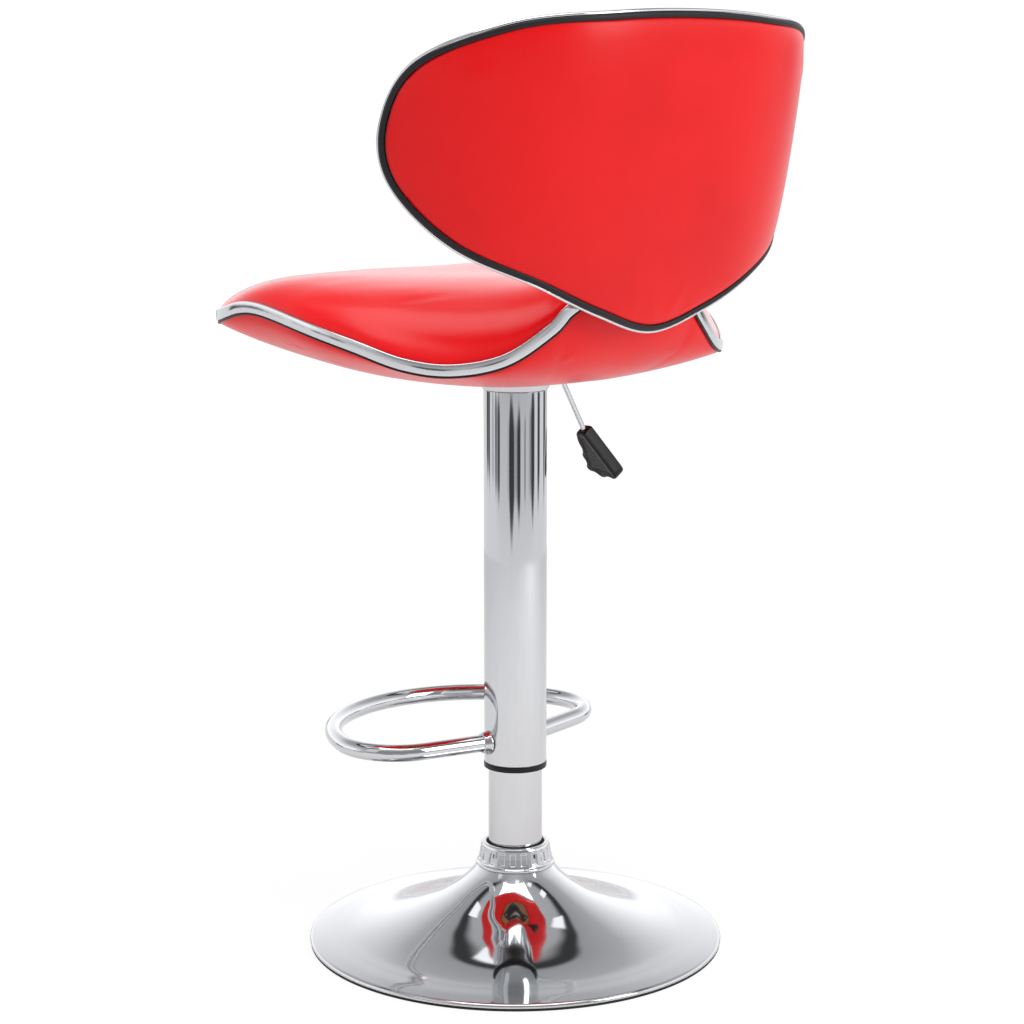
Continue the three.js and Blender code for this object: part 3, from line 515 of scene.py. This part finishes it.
# The seat is a padded top over an upholstered shell, with a chromed strip and a welt round the rim.
seat = {"halfWidth": 225, "front": 227.2, "rear": 164, "widest": 40, "frontPower": 3.5, "rearPower": 1.95,
        "underside": 526, "bowl": 0.0007, "cushionMid": 590, "crown": 40, "dish": 10, "boardMid": 565.5,
        "boardHalf": 5.3, "opening": 90, "around": 320, "grid": 84,
        "bead": [(0.3, -5), (2.9, -5), (3.3, 0), (2.9, 5), (0.3, 5)],
        "welt": [(0.3, -7), (2, -7), (2, -5.3), (0.3, -5.3)],
        "rimHeights": [(-35, 579), (0, 574), (35, 579), (50, 583), (62, 590), (72, 599), (79, 600.5), (87, 596.5),
                       (96, 589.5), (109, 576.5), (121, 562), (132, 557.5), (144, 566), (155, 591), (161, 610),
                       (180, 640), (199, 610)]}


def seatRimLine():  # the rim: two half superellipses in plan, lifted by bearing
    points = []
    for i in range(1440):
        a = 2 * math.pi * i / 1440
        front = math.cos(a) > 0
        power = 2 / (seat["frontPower"] if front else seat["rearPower"])
        length = seat["front"] - seat["widest"] if front else seat["rear"] + seat["widest"]
        points.append((seat["halfWidth"] * math.copysign(abs(math.sin(a)) ** power, math.sin(a)),
                       -seat["widest"] - math.copysign(length * abs(math.cos(a)) ** power, math.cos(a))))
    plan = evenly(np.array(points), seat["around"])
    heights = smoothCurve(seat["rimHeights"], 3000)
    bearing = np.degrees(np.arctan2(np.abs(plan[:, 0]), -(plan[:, 1] + seat["widest"])))
    return np.column_stack([plan, np.interp(bearing, heights[:, 0], heights[:, 1])])


seatRim = seatRimLine()
seatMiddle = np.array([0.0, -20.0])


def ringValue(ring, turn):  # the rim's point at a share of the way round
    t = (turn % 1) * len(ring)
    i = int(t)
    return ring[i % len(ring)] * (1 - (t - i)) + ring[(i + 1) % len(ring)] * (t - i)


def discGrid(count):  # a square grid drawn into a round one: (reach, turn) of every point, row by row
    places = []
    for i in range(count + 1):
        for j in range(count + 1):
            u, v = 2 * i / count - 1, 2 * j / count - 1
            x, y = u * math.sqrt(1 - v * v / 2), v * math.sqrt(1 - u * u / 2)
            places.append((min(math.hypot(x, y), 1.0), math.atan2(x, y) / (2 * math.pi)))
    return places


def edgeRing(count):  # the grid's outer points in order
    n = count + 1
    return (list(range(n)) + [i * n + count for i in range(1, n)]
            + [count * n + j for j in range(count - 1, -1, -1)] + [i * n for i in range(count - 1, 0, -1)])


def twoSkins(name, upper, lower, count, material):  # a closed pad between two skins, joined round the rim
    places = discGrid(count)
    top = [upper(r, t) for r, t in places]
    bottom = [lower(r, t) for r, t in places]
    faces = gridFaces(count + 1, count + 1, False, False)
    size = len(places)
    faces += [tuple(size + k for k in face[::-1]) for face in gridFaces(count + 1, count + 1, False, False)]
    edge = edgeRing(count)
    for a, b in zip(edge, edge[1:] + edge[:1]):
        faces.append((a, b, size + b, size + a))
    piece = newMesh(name, top + bottom, faces, material, 80)
    faceOut(piece)
    return piece


def seatPoint(reach, turn):
    rim = ringValue(seatRim, turn)
    return seatMiddle + (rim[:2] - seatMiddle) * reach, rim


def boardHeight(reach, rimZ):
    return seat["boardMid"] + (rimZ - seat["boardMid"]) * reach ** 4


def seam(reach):  # half the board's room, closing to nothing past its edge
    return seat["boardHalf"] if reach < 0.9 else max(0.2, seat["boardHalf"] * (1 - step(reach, 0.9, 0.94)))


def cushionTop(reach, turn):
    at, rim = seatPoint(reach, turn)
    lifted = seat["cushionMid"] + (rim[2] + 5.6 - seat["cushionMid"]) * reach ** 4
    z = lifted + seat["crown"] * max(0, 1 - reach ** 5) ** 0.75 - seat["dish"] * (1 - reach ** 2) ** 2
    return (at[0], at[1], z)


def cushionUnder(reach, turn):
    at, rim = seatPoint(reach, turn)
    return (at[0], at[1], boardHeight(reach, rim[2]) + seam(reach) + 0.3)


def shellUnder(reach, turn):
    at, rim = seatPoint(reach, turn)
    bowl = seat["underside"] + seat["bowl"] * (at[0] ** 2 + at[1] ** 2)
    edge = seat["underside"] + seat["bowl"] * (rim[0] ** 2 + rim[1] ** 2)
    return (at[0], at[1], bowl + (rim[2] - 6.6 - edge) * (1 - math.sqrt(max(0, 1 - reach ** 6))))


def shellTop(reach, turn):
    at, rim = seatPoint(reach, turn)
    return (at[0], at[1], boardHeight(reach, rim[2]) - seam(reach) - 0.3)


def seatShell():  # the upholstered underside, open in the middle for the mounting plate
    rings = 34
    points = []
    for i in range(seat["around"]):
        turn = i / seat["around"]
        rim = seatRim[i][:2]
        ray = rim - seatMiddle
        a, b, c = ray @ ray, seatMiddle @ ray, seatMiddle @ seatMiddle - seat["opening"] ** 2
        first = (-b + math.sqrt(b * b - a * c)) / a
        reaches = [first + (1 - first) * (1 - (1 - k / rings) ** 1.35) for k in range(rings + 1)]
        column = [shellUnder(r, turn) for r in reaches] + [shellTop(r, turn) for r in reaches[::-1]]
        points += column
    faces = gridFaces(seat["around"], 2 * rings + 2, True, True)
    piece = newMesh("seat_shell_upholstery", points, faces, redLeather, 75)
    faceOut(piece)
    return piece


foam = {"frames": 16, "quality": 4, "mass": 0.4, "stretch": 25, "bend": 4}


def puff(piece, held, pressure, cap):  # a cover blown out by its foam; held says how firmly each point stays
    rest = np.array([v.co for v in piece.data.vertices], float)
    group = piece.vertex_groups.new(name="held")
    for v in piece.data.vertices:
        group.add([v.index], float(held(v.co / mm)), "REPLACE")
    cloth = piece.modifiers.new("foam", "CLOTH")
    cloth.settings.vertex_group_mass = "held"
    cloth.settings.quality = foam["quality"]
    cloth.settings.mass = foam["mass"]
    cloth.settings.tension_stiffness = foam["stretch"]
    cloth.settings.compression_stiffness = foam["stretch"]
    cloth.settings.bending_stiffness = foam["bend"]
    cloth.settings.use_pressure = True
    cloth.settings.uniform_pressure_force = pressure
    cloth.settings.effector_weights.gravity = 0
    cloth.collision_settings.use_collision = False
    cloth.point_cache.frame_start = 1
    cloth.point_cache.frame_end = foam["frames"]
    for f in range(1, foam["frames"] + 1):
        bpy.context.scene.frame_set(f)
    graph = bpy.context.evaluated_depsgraph_get()
    swollen = piece.evaluated_get(graph).to_mesh()
    moved = np.array([v.co for v in swollen.vertices], float)
    piece.evaluated_get(graph).to_mesh_clear()
    piece.modifiers.remove(cloth)
    bpy.context.scene.frame_set(1)
    shift = moved - rest
    size = np.linalg.norm(shift, axis=1)
    limit = cap * mm
    scale = np.where(size > 1e-9, limit * np.tanh(size / limit) / np.maximum(size, 1e-9), 0)
    final = rest + shift * scale[:, None]
    piece.data.vertices.foreach_set("co", final.astype(np.float32).ravel())
    piece.data.update()
    piece.vertex_groups.clear()
    moves = [round(float(most) / mm, 1) for most in (size.max(), (size * scale).max())]
    print("cloth:", piece.name, "moved up to", moves[0], "mm, kept", moves[1])


def refine(piece):  # one more level of smooth faces
    more = piece.modifiers.new("finer", "SUBSURF")
    more.levels = more.render_levels = 1


# The cushion wears the brighter copy of the red leather, whose colour holds painted light from above.
cushion = twoSkins("seat_cushion_padded", cushionTop, cushionUnder, seat["grid"], litSeatLeather)
shell = seatShell()


def strip(name, rim, frames, section, material, sharp=50):  # a strip round a rim; the section is [out, up] pairs
    sections = [[p + o * out + u * up for o, u in section] for p, (out, up) in zip(rim, frames)]
    return swept(name, sections, material, True, sharp)


def rimFrames(rim):  # outwards and upwards at each point of the seat's rim
    made = []
    for i in range(len(rim)):
        along = rim[(i + 1) % len(rim)] - rim[i - 1]
        along /= np.linalg.norm(along)
        out = np.array([along[1], -along[0], 0])
        out /= np.linalg.norm(out)
        if out @ (rim[i] - np.array([0, -20, rim[i][2]])) < 0:
            out = -out
        up = np.cross(out, along)
        up /= np.linalg.norm(up)
        made.append((out, up if up[2] > 0 else -up))
    return made


seatFrames = rimFrames(seatRim)
bead = rounded(seat["bead"], 1.5, 5)  # a flat face between rolled edges
trim = strip("seat_trim_bead", seatRim, seatFrames, [tuple(p) for p in bead], trimChrome)
settle(trim, "seat", "trim_chrome", "seat_trim")
welt = rounded(seat["welt"], 0.8, 5)
piping = strip("seat_piping_welt", seatRim, seatFrames, [tuple(p) for p in welt], blackLeather)
settle(piping, "seat", "piping_black", "seat_piping")
print("seat trims ready")

# The back wraps round the sitter: a rear panel, a front pad, a chromed edging and a black band.
back = {"centreZ": 735, "wrapWidth": 215, "depthAt730": 208.6, "lean": 19.3, "leanCurve": 2.1, "wrap2": 14.5,
        "wrap4": 78.9, "around": 320, "grid": 78, "crown": 5, "padCrown": 32, "edgeDeep": 13, "padLow": 615,
        "padHigh": 720, "band": 4.8, "bandLow": -2.4, "padBack": -10.6, "panelFront": -2.7, "rimGap": 0.4,
        "edging": [(0.3, -13), (2.8, -12.4), (2.8, -0.8), (2.2, 0.6), (0.3, 0.9)],
        "outline": [(0, 586), (63, 603), (123, 629), (187, 662), (221, 711), (228, 762), (215, 810), (170, 837),
                    (85, 847), (0, 850)]}


def backDepth(x, z):  # the rear surface: wraps forward at its wings and leans away at its top
    h, w = (z - 730) / 100, x / back["wrapWidth"]
    leaned = back["depthAt730"] + back["lean"] * h - back["leanCurve"] * h * h
    return leaned - back["wrap2"] * w ** 2 - back["wrap4"] * w ** 4


def backNormal(x, z):
    d = 0.5
    n = np.array([-(backDepth(x + d, z) - backDepth(x - d, z)) / (2 * d), 1,
                  -(backDepth(x, z + d) - backDepth(x, z - d)) / (2 * d)])
    return n / np.linalg.norm(n)


half = back["outline"]
backRim = loopCurve([*half, *[(-x, z) for x, z in half[-2:0:-1]]], back["around"])


def backPoint(reach, turn, offset):
    x, z = ringValue(backRim, turn)
    x, z = x * reach, back["centreZ"] + (z - back["centreZ"]) * reach
    lift = offset(z) if callable(offset) else offset
    return np.array([x, backDepth(x, z), z]) + backNormal(x, z) * lift


def padFront(reach, z):
    rise = step(z, back["padLow"], back["padHigh"])
    return -back["edgeDeep"] - back["padCrown"] * math.sqrt(max(0, 1 - reach ** 4)) * rise


def insetAt(turn, distance):  # the reach that lies a distance inside the rim, measured along the curved surface
    a, b, rim = (backPoint(1, t, 0) for t in (turn - 0.004, turn + 0.004, turn))
    along = (b - a) / np.linalg.norm(b - a)
    ray = (rim - backPoint(0.98, turn, 0)) / 0.02
    return 1 - distance / np.linalg.norm(ray - along * (ray @ along))


panelEdge = back["band"] - back["rimGap"]


def panelRear(reach, turn):
    limit = insetAt(turn, panelEdge)
    crown = back["crown"] * math.sqrt(max(0, 1 - reach ** 4))
    return tuple(backPoint(reach * limit, turn, 0.6 + crown))


def panelFront(reach, turn):
    return tuple(backPoint(reach * insetAt(turn, panelEdge), turn, back["panelFront"]))


def padFace(reach, turn):
    limit = insetAt(turn, back["rimGap"])
    return tuple(backPoint(reach * limit, turn, lambda z: padFront(reach, z)))


def padRear(reach, turn):
    return tuple(backPoint(reach * insetAt(turn, back["rimGap"]), turn, back["padBack"]))


panel = twoSkins("back_panel_upholstery", panelRear, panelFront, back["grid"], redLeather)
pad = twoSkins("back_pad_padded", padFace, padRear, back["grid"], redLeather)

backEdge = [backPoint(1, i / back["around"], 0) for i in range(back["around"])]
backFrames = []
for i, point in enumerate(backEdge):
    x, z = backRim[i]
    normal = backNormal(x, z)
    along = backEdge[(i + 1) % len(backEdge)] - backEdge[i - 1]
    out = np.cross(along, normal)
    out /= np.linalg.norm(out)
    if out @ np.array([x, 0, z - back["centreZ"]]) < 0:
        out = -out
    backFrames.append((out, normal))

edging = rounded(back["edging"], 0.8, 4)
edgingStrip = strip("back_trim_edging", backEdge, backFrames, [tuple(p) for p in edging], trimChrome)
settle(edgingStrip, "seat", "trim_chrome", "back_trim")
bandHalf = back["band"] / 2
roll = [(bandHalf * (math.cos(a) - 1), 0.9 + 1.4 * math.sin(a)) for a in np.linspace(0, math.pi, 13)]
roll = [(0, back["bandLow"]), *roll, (-back["band"], back["bandLow"])]
bandStrip = strip("back_band_welt", backEdge, backFrames, roll, blackLeather, 60)
settle(bandStrip, "seat", "piping_black", "back_band")
print("back trims ready")

# Foam pressure and the pulls in the covers.


def heldCushion(p):  # only the top skin is free, and it is firm near the rim
    away = math.hypot(p.x / 225, (p.y + 32) / 195)
    return 1.0 if p.z < 575 and away < 0.9 or away > 0.97 else step(away, 0.75, 0.97)


def ridges(piece, pulls, direction):  # raises the pulls in a cover, fading along and across each
    for v in piece.data.vertices:
        p = v.co / mm
        rise = 0
        for centre, along, length, width, height in pulls:
            d = p - Vector(centre)
            run = Vector(along).normalized()
            t = d.dot(run) / length
            if abs(t) > 1:
                continue
            side = (d - run * d.dot(run)).length
            rise += height * (1 - t * t) ** 2 * math.exp(-(side / width) ** 2)
        if rise:
            v.co += direction(p) * rise * mm
    piece.data.update()


def heldPad(p):  # only the pad's front face is free, and it is firm near the rim
    if p.y > backDepth(p.x, p.z) - 12:
        return 1.0
    return step(math.hypot(p.x / 225, (p.z - 735) / 118), 0.7, 0.97)


def outwards(p):  # away from the seat's middle and down, or rearwards on the back
    if p.z < 620 and p.y < 170:
        return Vector((p.x, p.y + 20, -120)).normalized()
    return Vector(backNormal(p.x, p.z))


# Each pull in a cover: its middle, its direction, its half length, its width and its height.
folds = {
    "shell": [((201, -70, 580), (0.25, 0.55, -0.8), 34, 4.5, 1.7), ((207, -52, 573), (0.1, 0.7, -0.7), 30, 4, 1.3),
              ((190, -20, 560), (-0.2, 0.7, -0.7), 38, 6, 1.1), ((-58, 132, 575), (-0.5, 0.3, -0.8), 30, 5, 1.5),
              ((-86, 118, 566), (-0.7, 0.2, -0.6), 28, 4.5, 1.2), ((56, 134, 575), (0.5, 0.3, -0.8), 30, 5, 1.3),
              ((-199, -60, 578), (-0.2, 0.6, -0.8), 32, 5, 1.4), ((120, -175, 556), (0.6, -0.3, -0.7), 36, 6, 1.1),
              ((-128, -168, 556), (-0.6, -0.2, -0.7), 34, 6, 1.0)],
    "panel": [((8, 182, 612), (0.2, 0, 1), 30, 5, 1.1), ((-22, 184, 618), (-0.5, 0, 1), 28, 5, 1.0),
              ((34, 184, 622), (0.6, 0, 0.9), 26, 5, 0.9), ((-178, 176, 806), (0.7, 0, 0.6), 34, 6, 1.0),
              ((-160, 190, 816), (0.8, 0, 0.5), 30, 5, 0.8), ((182, 172, 800), (-0.7, 0, 0.6), 34, 6, 0.9)]}

ridges(shell, folds["shell"], outwards)
ridges(panel, folds["panel"], outwards)

puff(cushion, heldCushion, 2.0, 5)
puff(pad, heldPad, 1.2, 4)

for piece in (cushion, shell, panel, pad):
    refine(piece)

for piece, node in ((cushion, "seat_cushion"), (shell, "seat_shell"), (panel, "back_panel"), (pad, "back_pad")):
    settle(piece, "seat", "leather_red", node)
print("upholstery ready")

# The frame's own parts that stay.
finishes = {
    "steel_bare": zinc, "paint_black": powderCoat, "plastic_black": blackAbs, "rubber_black": rubber,
    "chrome_plate": chrome, "trim_chrome": trimChrome, "piping_black": blackLeather, "leather_red": redLeather,
    "plywood": plywood}

for part in frame["record"]["subparts"]:
    node = frame["nodes"][part["node"]]
    finish = finishes[part["material_slot"]]
    if not node.data.materials:
        node.data.materials.append(finish)
    for place in node.material_slots:
        place.material = finish
    if part["node"] in ("seat_plate", "lever_bracket"):
        edge = node.modifiers.new("eased edges", "BEVEL")
        edge.width = 0.5 * mm
        edge.segments = 2
        edge.limit_method = "ANGLE"
print("frame parts finished")

# The studio: a pale floor, three softboxes and a bright room, seen from behind the sitter's left.
studio = {"floorRadius": 2.0, "floorLow": -0.3, "turn": 41, "distance": 2.1904, "height": 0.7895, "down": 0.1733,
          "side": -0.0014, "lens": 85.35, "sensor": 36, "towards": (0.656, 0.755, 0), "white": 1.04, "glowPart": 0.85,
          "softboxes": [("overhead softbox", (0.3, 0.3, 2.6), (0, 0, 0.4), (1.8, 1.8), 30),
                        ("left softbox", (2.3, 0.1, 1.5), (0, 0, 0.5), (0.9, 1.6), 2),
                        ("right softbox", (-0.7, 2.3, 1.4), (0, 0, 0.6), (0.9, 1.5), 20)]}

floorMaterial, tree, shader, where = newMaterial("pale_studio_floor", {
    "Base Color": linear("#EAEAEA"), "Roughness": 0.9, "Emission Color": linear("#FFFFFF"), "Emission Strength": 0.1})
fibre = addNode(tree, "ShaderNodeTexNoise", {"Scale": 4.0, "Detail": 2.0}, {"Vector": where})
tone = addRamp(tree, fibre.outputs["Fac"], [(0.3, linear("#E8E8E8")), (0.7, linear("#ECECEC"))])
tree.links.new(tone.outputs["Color"], shader.inputs["Base Color"])
# Seen directly the floor burns out to white; in the chrome it stays dimmer.
glow = addNode(tree, "ShaderNodeEmission", {"Color": linear("#FFFFFF"), "Strength": studio["white"]})
direct = addNode(tree, "ShaderNodeLightPath")
part = addNode(tree, "ShaderNodeMath", {"operation": "MULTIPLY", 1: studio["glowPart"]},
               {0: direct.outputs["Is Camera Ray"]})
mixed = addNode(tree, "ShaderNodeMixShader", links={
    "Fac": part.outputs["Value"], 1: shader.outputs["BSDF"], 2: glow.outputs["Emission"]})
tree.links.new(mixed.outputs["Shader"], tree.nodes["Material Output"].inputs["Surface"])
bound = [(*onCircle(studio["floorRadius"] / mm, a), studio["floorLow"])
         for a in np.linspace(0, 2 * math.pi, 96, endpoint=False)]
floor = newMesh("studio_floor", bound, [tuple(range(96))], floorMaterial)


def areaLight(name, place, target, size, power):
    data = bpy.data.lights.new(name, "AREA")
    data.shape = "RECTANGLE"
    data.size, data.size_y = size
    data.energy = power
    lamp = bpy.data.objects.new(name, data)
    bpy.context.scene.collection.objects.link(lamp)
    lamp.location = place
    lamp.rotation_mode = "QUATERNION"
    lamp.rotation_quaternion = (Vector(target) - Vector(place)).to_track_quat("-Z", "Y")


for softbox in studio["softboxes"]:
    areaLight(*softbox)

world = bpy.data.worlds.new("white studio room")
bpy.context.scene.world = world
world.use_nodes = True
tree = world.node_tree
sky = tree.nodes["Background"]
ray = addNode(tree, "ShaderNodeTexCoord").outputs["Generated"]
axes = addNode(tree, "ShaderNodeSeparateXYZ", links={"Vector": ray})
height = addNode(tree, "ShaderNodeMapRange", {"From Min": -1.0}, {"Value": axes.outputs["Z"]})


def grey(v):  # a barely cool grey
    return (v, v, v * 1.01, 1.0)


# From below the horizon to overhead: floor, white backdrop, grey upper wall, dark rail, grey ceiling.
farSide = addRamp(tree, height.outputs["Result"], [
    (0.0, grey(0.9)), (0.40, grey(0.9)), (0.5, grey(0.9)), (0.53, grey(1.4)), (0.6, grey(1.35)), (0.66, grey(1.15)),
    (0.75, grey(0.8)), (0.8, grey(0.55)), (0.88, grey(0.42)), (0.889, grey(0.05)), (0.908, grey(0.05)),
    (0.925, grey(0.5)), (1.0, grey(0.6))])
# The side the stool is looked at from is dimmer.
nearSide = addRamp(tree, height.outputs["Result"], [
    (0.0, grey(0.9)), (0.40, grey(0.9)), (0.45, grey(0.74)), (0.5, grey(0.66)), (0.56, grey(0.34)),
    (0.75, grey(0.32)), (0.88, grey(0.5)), (0.93, grey(0.8)), (0.96, grey(0.5)), (1.0, grey(0.55))])
facing = addNode(tree, "ShaderNodeVectorMath", {"operation": "DOT_PRODUCT", 1: studio["towards"]}, {0: ray})
nearness = addNode(tree, "ShaderNodeMapRange", {"From Min": 0.2, "From Max": 0.62},
                   {"Value": facing.outputs["Value"]})
bands = addNode(tree, "ShaderNodeMixRGB", links={
    "Fac": nearness.outputs["Result"], "Color1": farSide.outputs["Color"], "Color2": nearSide.outputs["Color"]})
# Eight bright windows stand in a ring just above the rail.
bearing = addNode(tree, "ShaderNodeMath", {"operation": "ARCTAN2"}, {0: axes.outputs["Y"], 1: axes.outputs["X"]})
spokes = addNode(tree, "ShaderNodeMath", {"operation": "MULTIPLY", 1: 8.0}, {0: bearing.outputs["Value"]})
wave = addNode(tree, "ShaderNodeMath", {"operation": "SINE"}, {0: spokes.outputs["Value"]})
boxes = addRamp(tree, wave.outputs["Value"], [(0.5, grey(0)), (0.6, grey(1))])
panes = addRamp(tree, height.outputs["Result"], [
    (0.905, grey(0)), (0.909, grey(1)), (0.936, grey(1)), (0.94, grey(0))])
windows = addNode(tree, "ShaderNodeMath", {"operation": "MULTIPLY"},
                  {0: boxes.outputs["Color"], 1: panes.outputs["Color"]})
# Dark stands near the horizon draw the pointed streaks in the tube.
flat = addNode(tree, "ShaderNodeMapping", {"Scale": (1.0, 1.0, 0.12)}, {"Vector": ray})
stands = addNode(tree, "ShaderNodeTexNoise", {"Scale": 2.6, "Detail": 1.6, "Roughness": 0.5},
                 {"Vector": flat.outputs["Vector"]})
nearLevel = addRamp(tree, height.outputs["Result"], [
    (0.4, grey(0)), (0.425, grey(0.4)), (0.45, grey(0.9)), (0.49, grey(0.9)), (0.52, grey(0.0))])
gap = addNode(tree, "ShaderNodeMath", {"operation": "MULTIPLY_ADD", 1: 0.30},
              {0: nearLevel.outputs["Color"], 2: stands.outputs["Fac"]})
dark = addRamp(tree, gap.outputs["Value"], [(0.77, grey(1)), (0.8, grey(0.6)), (0.85, grey(0.08))])
lit = addNode(tree, "ShaderNodeMixRGB", {"Color2": grey(1.4)},
              {"Fac": windows.outputs["Value"], "Color1": bands.outputs["Color"]})
shaded = addNode(tree, "ShaderNodeMixRGB", {"blend_type": "MULTIPLY", "Fac": 1.0},
                 {"Color1": lit.outputs["Color"], "Color2": dark.outputs["Color"]})
seen = addNode(tree, "ShaderNodeLightPath")
final = addNode(tree, "ShaderNodeMixRGB", {"Color2": grey(studio["white"])},
                {"Fac": seen.outputs["Is Camera Ray"], "Color1": shaded.outputs["Color"]})
tree.links.new(final.outputs["Color"], sky.inputs["Color"])
sky.inputs["Strength"].default_value = 1.0

bpy.context.scene.view_settings.view_transform = "Standard"

cameraData = bpy.data.cameras.new("camera")
cameraData.sensor_width = studio["sensor"]
cameraData.lens = studio["lens"]
camera = bpy.data.objects.new("camera", cameraData)
bpy.context.scene.collection.objects.link(camera)
turn = math.radians(studio["turn"])
camera.location = (studio["distance"] * math.sin(turn), studio["distance"] * math.cos(turn), studio["height"])
heading, down = turn + studio["side"], studio["down"]
look = Vector((-math.sin(heading) * math.cos(down), -math.cos(heading) * math.cos(down), -math.sin(down)))
camera.rotation_mode = "QUATERNION"
camera.rotation_quaternion = look.to_track_quat("-Z", "Y")
bpy.context.scene.camera = camera
print("studio ready")
